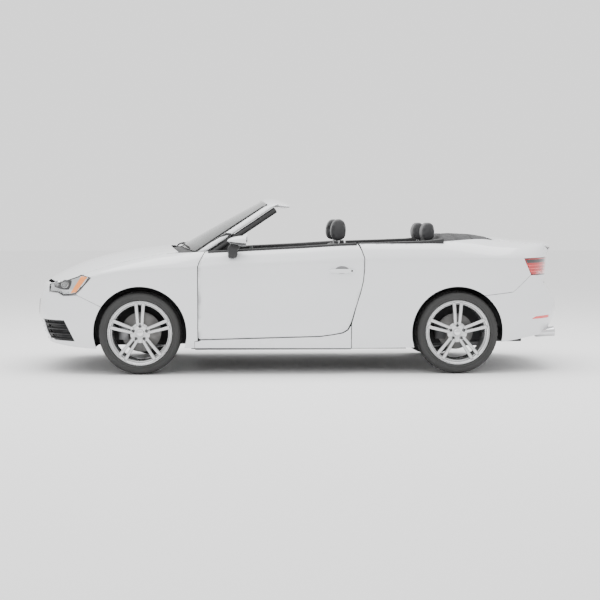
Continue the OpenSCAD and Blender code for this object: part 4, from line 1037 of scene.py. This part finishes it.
# -- Belt trims, door cards and sails ---------------------------------------------------
# Black rubber-lipped trims cap the doors and the rear sides, and each door has a moulded card
# with a hide-covered armrest, a pull, a map pocket and a round loudspeaker grille.
for side, sign in SIDES:
    body = f"door_{side}"
    flip = Matrix.Diagonal((1, -sign, 1, 1))

    def both_ways(piece, material, to, bevel=0.004, segments=3):
        """Rounds a piece drawn on the left, and turns it over for the right."""
        close_up(piece, bevel=bevel, segments=segments, angle=50).data.transform(flip)
        if sign > 0:
            piece.data.flip_normals()
        return fit(piece, material, to)

    both_ways(slab_of(f"door_belt_trim_{side}", [(-0.745, 0.960), (-0.745, 0.984), (-0.400, 1.004),
        (-0.010, 1.023), (0.358, 1.046),
        (0.446, 1.050), (0.446, 1.000), (0.000, 0.975), (-0.400, 0.955)], -0.832, -0.742), moulding, body,
        0.006)
    both_ways(slab_of(f"rear_belt_trim_{side}", [(0.462, 1.047), (0.800, 1.058), (1.012, 1.066),
        (1.145, 1.082), (1.145, 1.030),
        (0.462, 1.010)], -0.815, -0.690), moulding, "body", 0.006)
    both_ways(slab_of(f"mirror_sail_{side}", [(-0.792, 0.975), (-0.700, 1.070), (-0.602, 1.130),
        (-0.560, 1.125), (-0.575, 0.990)],
        -0.700, -0.680), moulding, "body", 0.003)
    card = slab_of(f"door_card_{side}", [(-0.710, 0.330), (-0.720, 0.950), (-0.700, 0.982), (0.000, 1.020),
        (0.415, 1.044),
        (0.430, 0.880), (0.400, 0.600), (0.320, 0.400), (0.240, 0.330)], -0.750, -0.732)
    both_ways(card, trim, body, 0.006)
    rest = slab_of(f"armrest_{side}", [(-0.420, 0.640), (-0.430, 0.690), (-0.380, 0.712), (0.180, 0.712),
        (0.240, 0.690), (0.200, 0.650),
        (0.100, 0.636)], -0.736, -0.680)
    both_ways(rest, hide, body, 0.014, 4)
    both_ways(slab_of(f"map_pocket_{side}", [(-0.600, 0.360), (-0.610, 0.470), (-0.570, 0.490),
        (0.080, 0.490), (0.110, 0.460),
        (0.080, 0.360)], -0.740, -0.702), moulding, body, 0.010, 3)
    pull = block(f"door_release_{side}", (-0.330, -0.742, 0.800), (-0.210, -0.722, 0.826))
    both_ways(pull, chrome, body, 0.006, 3)
    speaker = turned(f"speaker_{side}", [(0.0001, 0.003), (0.060, 0.003), (0.066, 0.007), (0.074, 0.008),
        (0.080, 0.004), (0.080, -0.004),
        (0.0001, -0.004)], steps=48)
    close_up(speaker).data.transform(Matrix.Translation((-0.560, sign * 0.732, 0.600)) @ Matrix.Rotation(
        math.pi if sign < 0 else 0, 4, "Z"))
    fit(speaker, moulding, body)

# -- Folded top -------------------------------------------------------------------------
# The soft top lies folded in its well behind the bench: a sheet of dark woven cloth
# drawn tight from side to side, with a rolled front edge and the creases of its folds.
# Rows across the folded top: x, crown height, half width; and along its edge: x, height
TOP_ROWS = [(1.152, 1.084, 0.770), (1.160, 1.104, 0.769), (1.180, 1.119, 0.764), (1.335, 1.122, 0.718),
    (1.447, 1.117, 0.668),
    (1.530, 1.104, 0.628), (1.586, 1.093, 0.585)]
BELT = [(1.012, 1.050), (1.240, 1.066), (1.450, 1.077), (1.600, 1.070)]


def between(rows, x, column):
    """A value read from rows of numbers at x."""
    for low, high in zip(rows, rows[1:]):
        if x <= high[0]:
            share = max(0.0, (x - low[0]) / (high[0] - low[0]))
            return low[column] * (1 - share) + high[column] * share
    return rows[-1][column]


cloth_path = [(1.172, 1.010), (1.160, 1.040), (1.155, 1.070)] + [(1.160 + 0.005 * k, None)
    for k in range(85)] + [
    (1.584, 1.066), (1.580, 1.048)]
bpy.ops.object.select_all(action="DESELECT")
bpy.ops.mesh.primitive_grid_add(x_subdivisions=len(cloth_path) - 1, y_subdivisions=96, size=2)
hood_cloth = bpy.context.object
hood_cloth.name = hood_cloth.data.name = "folded_hood"
for vert in hood_cloth.data.vertices:
    k = round((vert.co.x + 1) / 2 * (len(cloth_path) - 1))
    v = vert.co.y
    x, z = cloth_path[k]
    crown = between(TOP_ROWS, x, 1) if z is None else z
    wide = between(TOP_ROWS, x, 2) - 0.010
    edge = between(BELT, x, 1) - 0.007
    high = crown * (1 - abs(v) ** 4) + min(edge, crown) * abs(v) ** 4
    crease = 0.0
    if z is None:
        crease = 0.010 * valley(x - 1.265 - 0.012 * v * v,
            0.012) + 0.012 * valley(x - 1.405 - 0.020 * v * v, 0.014)
        crease += 0.0022 * math.sin(31 * v + 9 * x) * math.sin(46 * x + 2 * v) * (0.35 + abs(v) ** 1.5)
        crease += 0.004 * valley(abs(v) - 0.52 - 0.1 * (x - 1.16), 0.016)
    bow = 0.060 * v * v * (0.6 if x > 1.4 else 0.2)
    vert.co = (x - bow, v * wide, high - crease - 0.003)
alone(hood_cloth)
bpy.ops.object.mode_set(mode="EDIT")
bpy.ops.mesh.select_all(action="SELECT")
bpy.ops.mesh.normals_make_consistent(inside=False)
bpy.ops.object.mode_set(mode="OBJECT")
if sum(p.normal.z * p.area for p in hood_cloth.data.polygons) < 0:
    hood_cloth.data.flip_normals()
ply = hood_cloth.modifiers.new("ply", "SOLIDIFY")
ply.thickness, ply.offset = 0.003, -1
bpy.ops.object.modifier_apply(modifier="ply")
bpy.ops.object.shade_smooth_by_angle(angle=math.radians(60))
hood_weave = finish("hood_cloth", (0.018, 0.018, 0.020), (0.036, 0.036, 0.038), (0.8, 0.92), drift=7,
    relief=woven,
    scale=330.0, depth=0.0005, strength=0.5, Sheen_Weight=0.1, Sheen_Roughness=0.5)
fit(hood_cloth, hood_weave, "body", ("folded_top",))

# -- Screen surround, wipers and header -------------------------------------------------
# A black rubber seal runs up behind each painted pillar and along the header, two wiper
# arms lie on the foot of the glass, and a mirror and two visors hang from the header.
# Rows of the glass from its foot up: x, height in the middle, half width, bow back and sag at the side
SCREEN = [(-1.000, 1.018, 0.690, 0.160, 0.042), (-0.930, 1.057, 0.676, 0.148, 0.041),
    (-0.827, 1.116, 0.655, 0.131, 0.041),
    (-0.723, 1.174, 0.634, 0.114, 0.040), (-0.620, 1.231, 0.612, 0.097, 0.039),
    (-0.516, 1.286, 0.590, 0.080, 0.038),
    (-0.413, 1.342, 0.567, 0.063, 0.037), (-0.316, 1.393, 0.545, 0.047, 0.036)]


def on_screen(row, share, out=0.0):
    """A point on the glass: row 0 at its foot to 7 at its head, share -1 to 1 across it."""
    low = SCREEN[min(int(row), 6)]
    high = SCREEN[min(int(row), 6) + 1]
    part = row - min(int(row), 6)
    x, z, wide, bow, sag = (a * (1 - part) + b * part for a, b in zip(low, high))
    return Vector((x + bow * share ** 2 - 0.48 * out, share * wide, z - sag * share ** 2 + 0.88 * out))


for side, sign in SIDES:
    rail = [on_screen(0.6 + 0.2 * k, sign * 1.055, 0) + Vector((0.058, 0, -0.040)) for k in range(33)]
    fit(beading(f"pillar_seal_{side}", rail, 0.025), moulding, "body")
    border = [on_screen(0.35 * k, sign * 0.965, 0.0015) for k in range(20)]
    fit(beading(f"glass_border_{side}", border, 0.0075), gloss, "body")
fit(beading("header_seal", [Vector((-0.262 - 0.028 * (1 - v * v), v * 0.535, 1.372 - 0.030 * v * v))
    for v in
    [k / 10 - 1 for k in range(21)]], 0.014), moulding, "body")
fit(beading("glass_border_head", [on_screen(6.93, k / 10 - 1, 0.0015) for k in range(21)], 0.009), gloss,
    "body")
for name, sweep, pivot in (("wiper_left", (-0.70, 0.12), (-0.30)), ("wiper_right", (-0.06, 0.66), (0.22))):
    blade = [on_screen(0.18 + 0.55 * (1 - abs((k / 16) * 2 - 1)) * 0.25 + 0.10 * k / 16,
        sweep[0] + (sweep[1] - sweep[0]) * k / 16, 0.007)
        for k in range(17)]
    fit(beading(f"{name}_blade", blade, 0.0055), moulding, "body")
    grip = blade[9]
    base = on_screen(0, pivot + 0.25, 0) + Vector((-0.030, 0, 0.000))
    arm = [base, base.lerp(grip, 0.3) + Vector((0, 0, 0.008)),
        base.lerp(grip, 0.7) + Vector((0, 0, 0.008)), grip + Vector((0, 0, 0.006))]
    fit(beading(f"{name}_arm", along(arm, 0.03), 0.0065), moulding, "body")
cabin_mirror = block("cabin_mirror", (-0.400, -0.115, 1.262), (-0.376, 0.115, 1.318))
sliced(cabin_mirror, (0, 1, 0), (-0.075, -0.03, 0.03, 0.075))
pick(cabin_mirror, "FACE", lambda c, n: abs(n.y) > 0.9)
bpy.ops.transform.resize(value=(0.7, 1, 0.7), center_override=(-0.388, 0, 1.290))
fit(close_up(cabin_mirror, bevel=0.006, segments=3, angle=50), gloss, "body")
glass_face = block("cabin_mirror_glass", (-0.3775, -0.104, 1.270), (-0.3745, 0.104, 1.310))
fit(close_up(glass_face, bevel=0.0012, segments=2), chrome, "body")
fit(beading("cabin_mirror_stem", along([(-0.392, 0, 1.300), (-0.400, 0, 1.325), (-0.402, 0, 1.345)], 0.01),
    0.010), trim, "body")
for side, sign in SIDES:
    visor = block(f"sun_visor_{side}", (-0.375, 0.13 if sign > 0 else -0.46, 1.346),
        (-0.270, 0.46 if sign > 0 else -0.13, 1.364))
    visor.data.transform(Matrix.Translation((-0.27, 0, 1.36)) @ Matrix.Rotation(math.radians(-24), 4, "Y")
        @ Matrix.Translation((0.27, 0, -1.36)))
    sunk(visor, lambda c, n: n.z < -0.7, 0.012, (0, 0, 0.003))
    fit(close_up(visor, bevel=0.007, segments=4, angle=50), trim, "body")

# -- Tailpipes --------------------------------------------------------------------------
# Twin bright steel tips on the left, flared and rolled at the mouth, at the end of the
# pipes that leave the silencer across the tail.
dress("exhaust", cast_metal)
for k, (y, back) in enumerate(((-0.600, 2.092), (-0.515, 2.108))):
    tip = turned(f"tailpipe_tip_{k + 1}", [(0.0350, 0.000), (0.0375, -0.003), (0.0370, -0.010),
        (0.0345, -0.060), (0.0335, -0.150),
        (0.0300, -0.160), (0.0285, -0.150), (0.0300, -0.050), (0.0325, -0.006)], steps=48)
    close_up(tip, angle=50)
    tip.data.transform(Matrix.Translation((back, y, 0.316)) @ Matrix.Rotation(math.radians(90), 4, "Z")
        @ Matrix.Rotation(
        math.radians(-4), 4, "X"))
    fit(tip, chrome, "body")
    pipe = along([(1.830, -0.380 + 0.02 * k, 0.290), (1.880, -0.390, 0.300), (1.900, y + 0.05, 0.308),
        (1.945, y, 0.312)], 0.02)
    fit(beading(f"tail_pipe_{k + 1}", pipe, 0.026), cast_metal, "body")

# -- Plates, flap and seams -------------------------------------------------------------
# Blank white plates in black holders at both ends, and a round filler flap with a thin
# dark joint on the right rear side.
plate_white = finish("plate_enamel", (0.78, 0.78, 0.77), (0.72, 0.72, 0.71), (0.3, 0.4), drift=8,
    scale=400.0, Coat_Weight=0.4)
nose_skin = skin_of("front_bumper", "front_grille")
for name, skin, way, x, low, high in (("front_plate", nose_skin, (1, 0, 0), -2.15, 0.458, 0.568),
        ("rear_plate", bumper_skin,
        (-1, 0, 0), 2.15, 0.520, 0.630)):
    turn = 1 if x < 0 else -1
    for part, grow, out, thick, look in (("holder", 0.010, 0.006, 0.006, moulding),
            ("blank", 0.0, 0.009, 0.003, plate_white)):
        corners = [(x, -turn * (0.26 + grow), low - grow), (x, turn * (0.26 + grow), low - grow),
            (x, turn * (0.26 + grow), high + grow),
            (x, -turn * (0.26 + grow), high + grow)]
        fit(patch(f"{name}_{part}", skin, corners, (20, 5), out, thick, way), look, "body")
flank = skin_of("quarter_right")
flap = [on_skin(flank, (1.330 + 0.085 * math.cos(t), 0.8, 0.835 + 0.085 * math.sin(t)), (0, -1, 0), 0.0004)
    for t in
    [math.tau * k / 48 for k in range(48)]]
fit(beading("filler_flap_joint", flap, 0.0022, closed=True), moulding, "body")
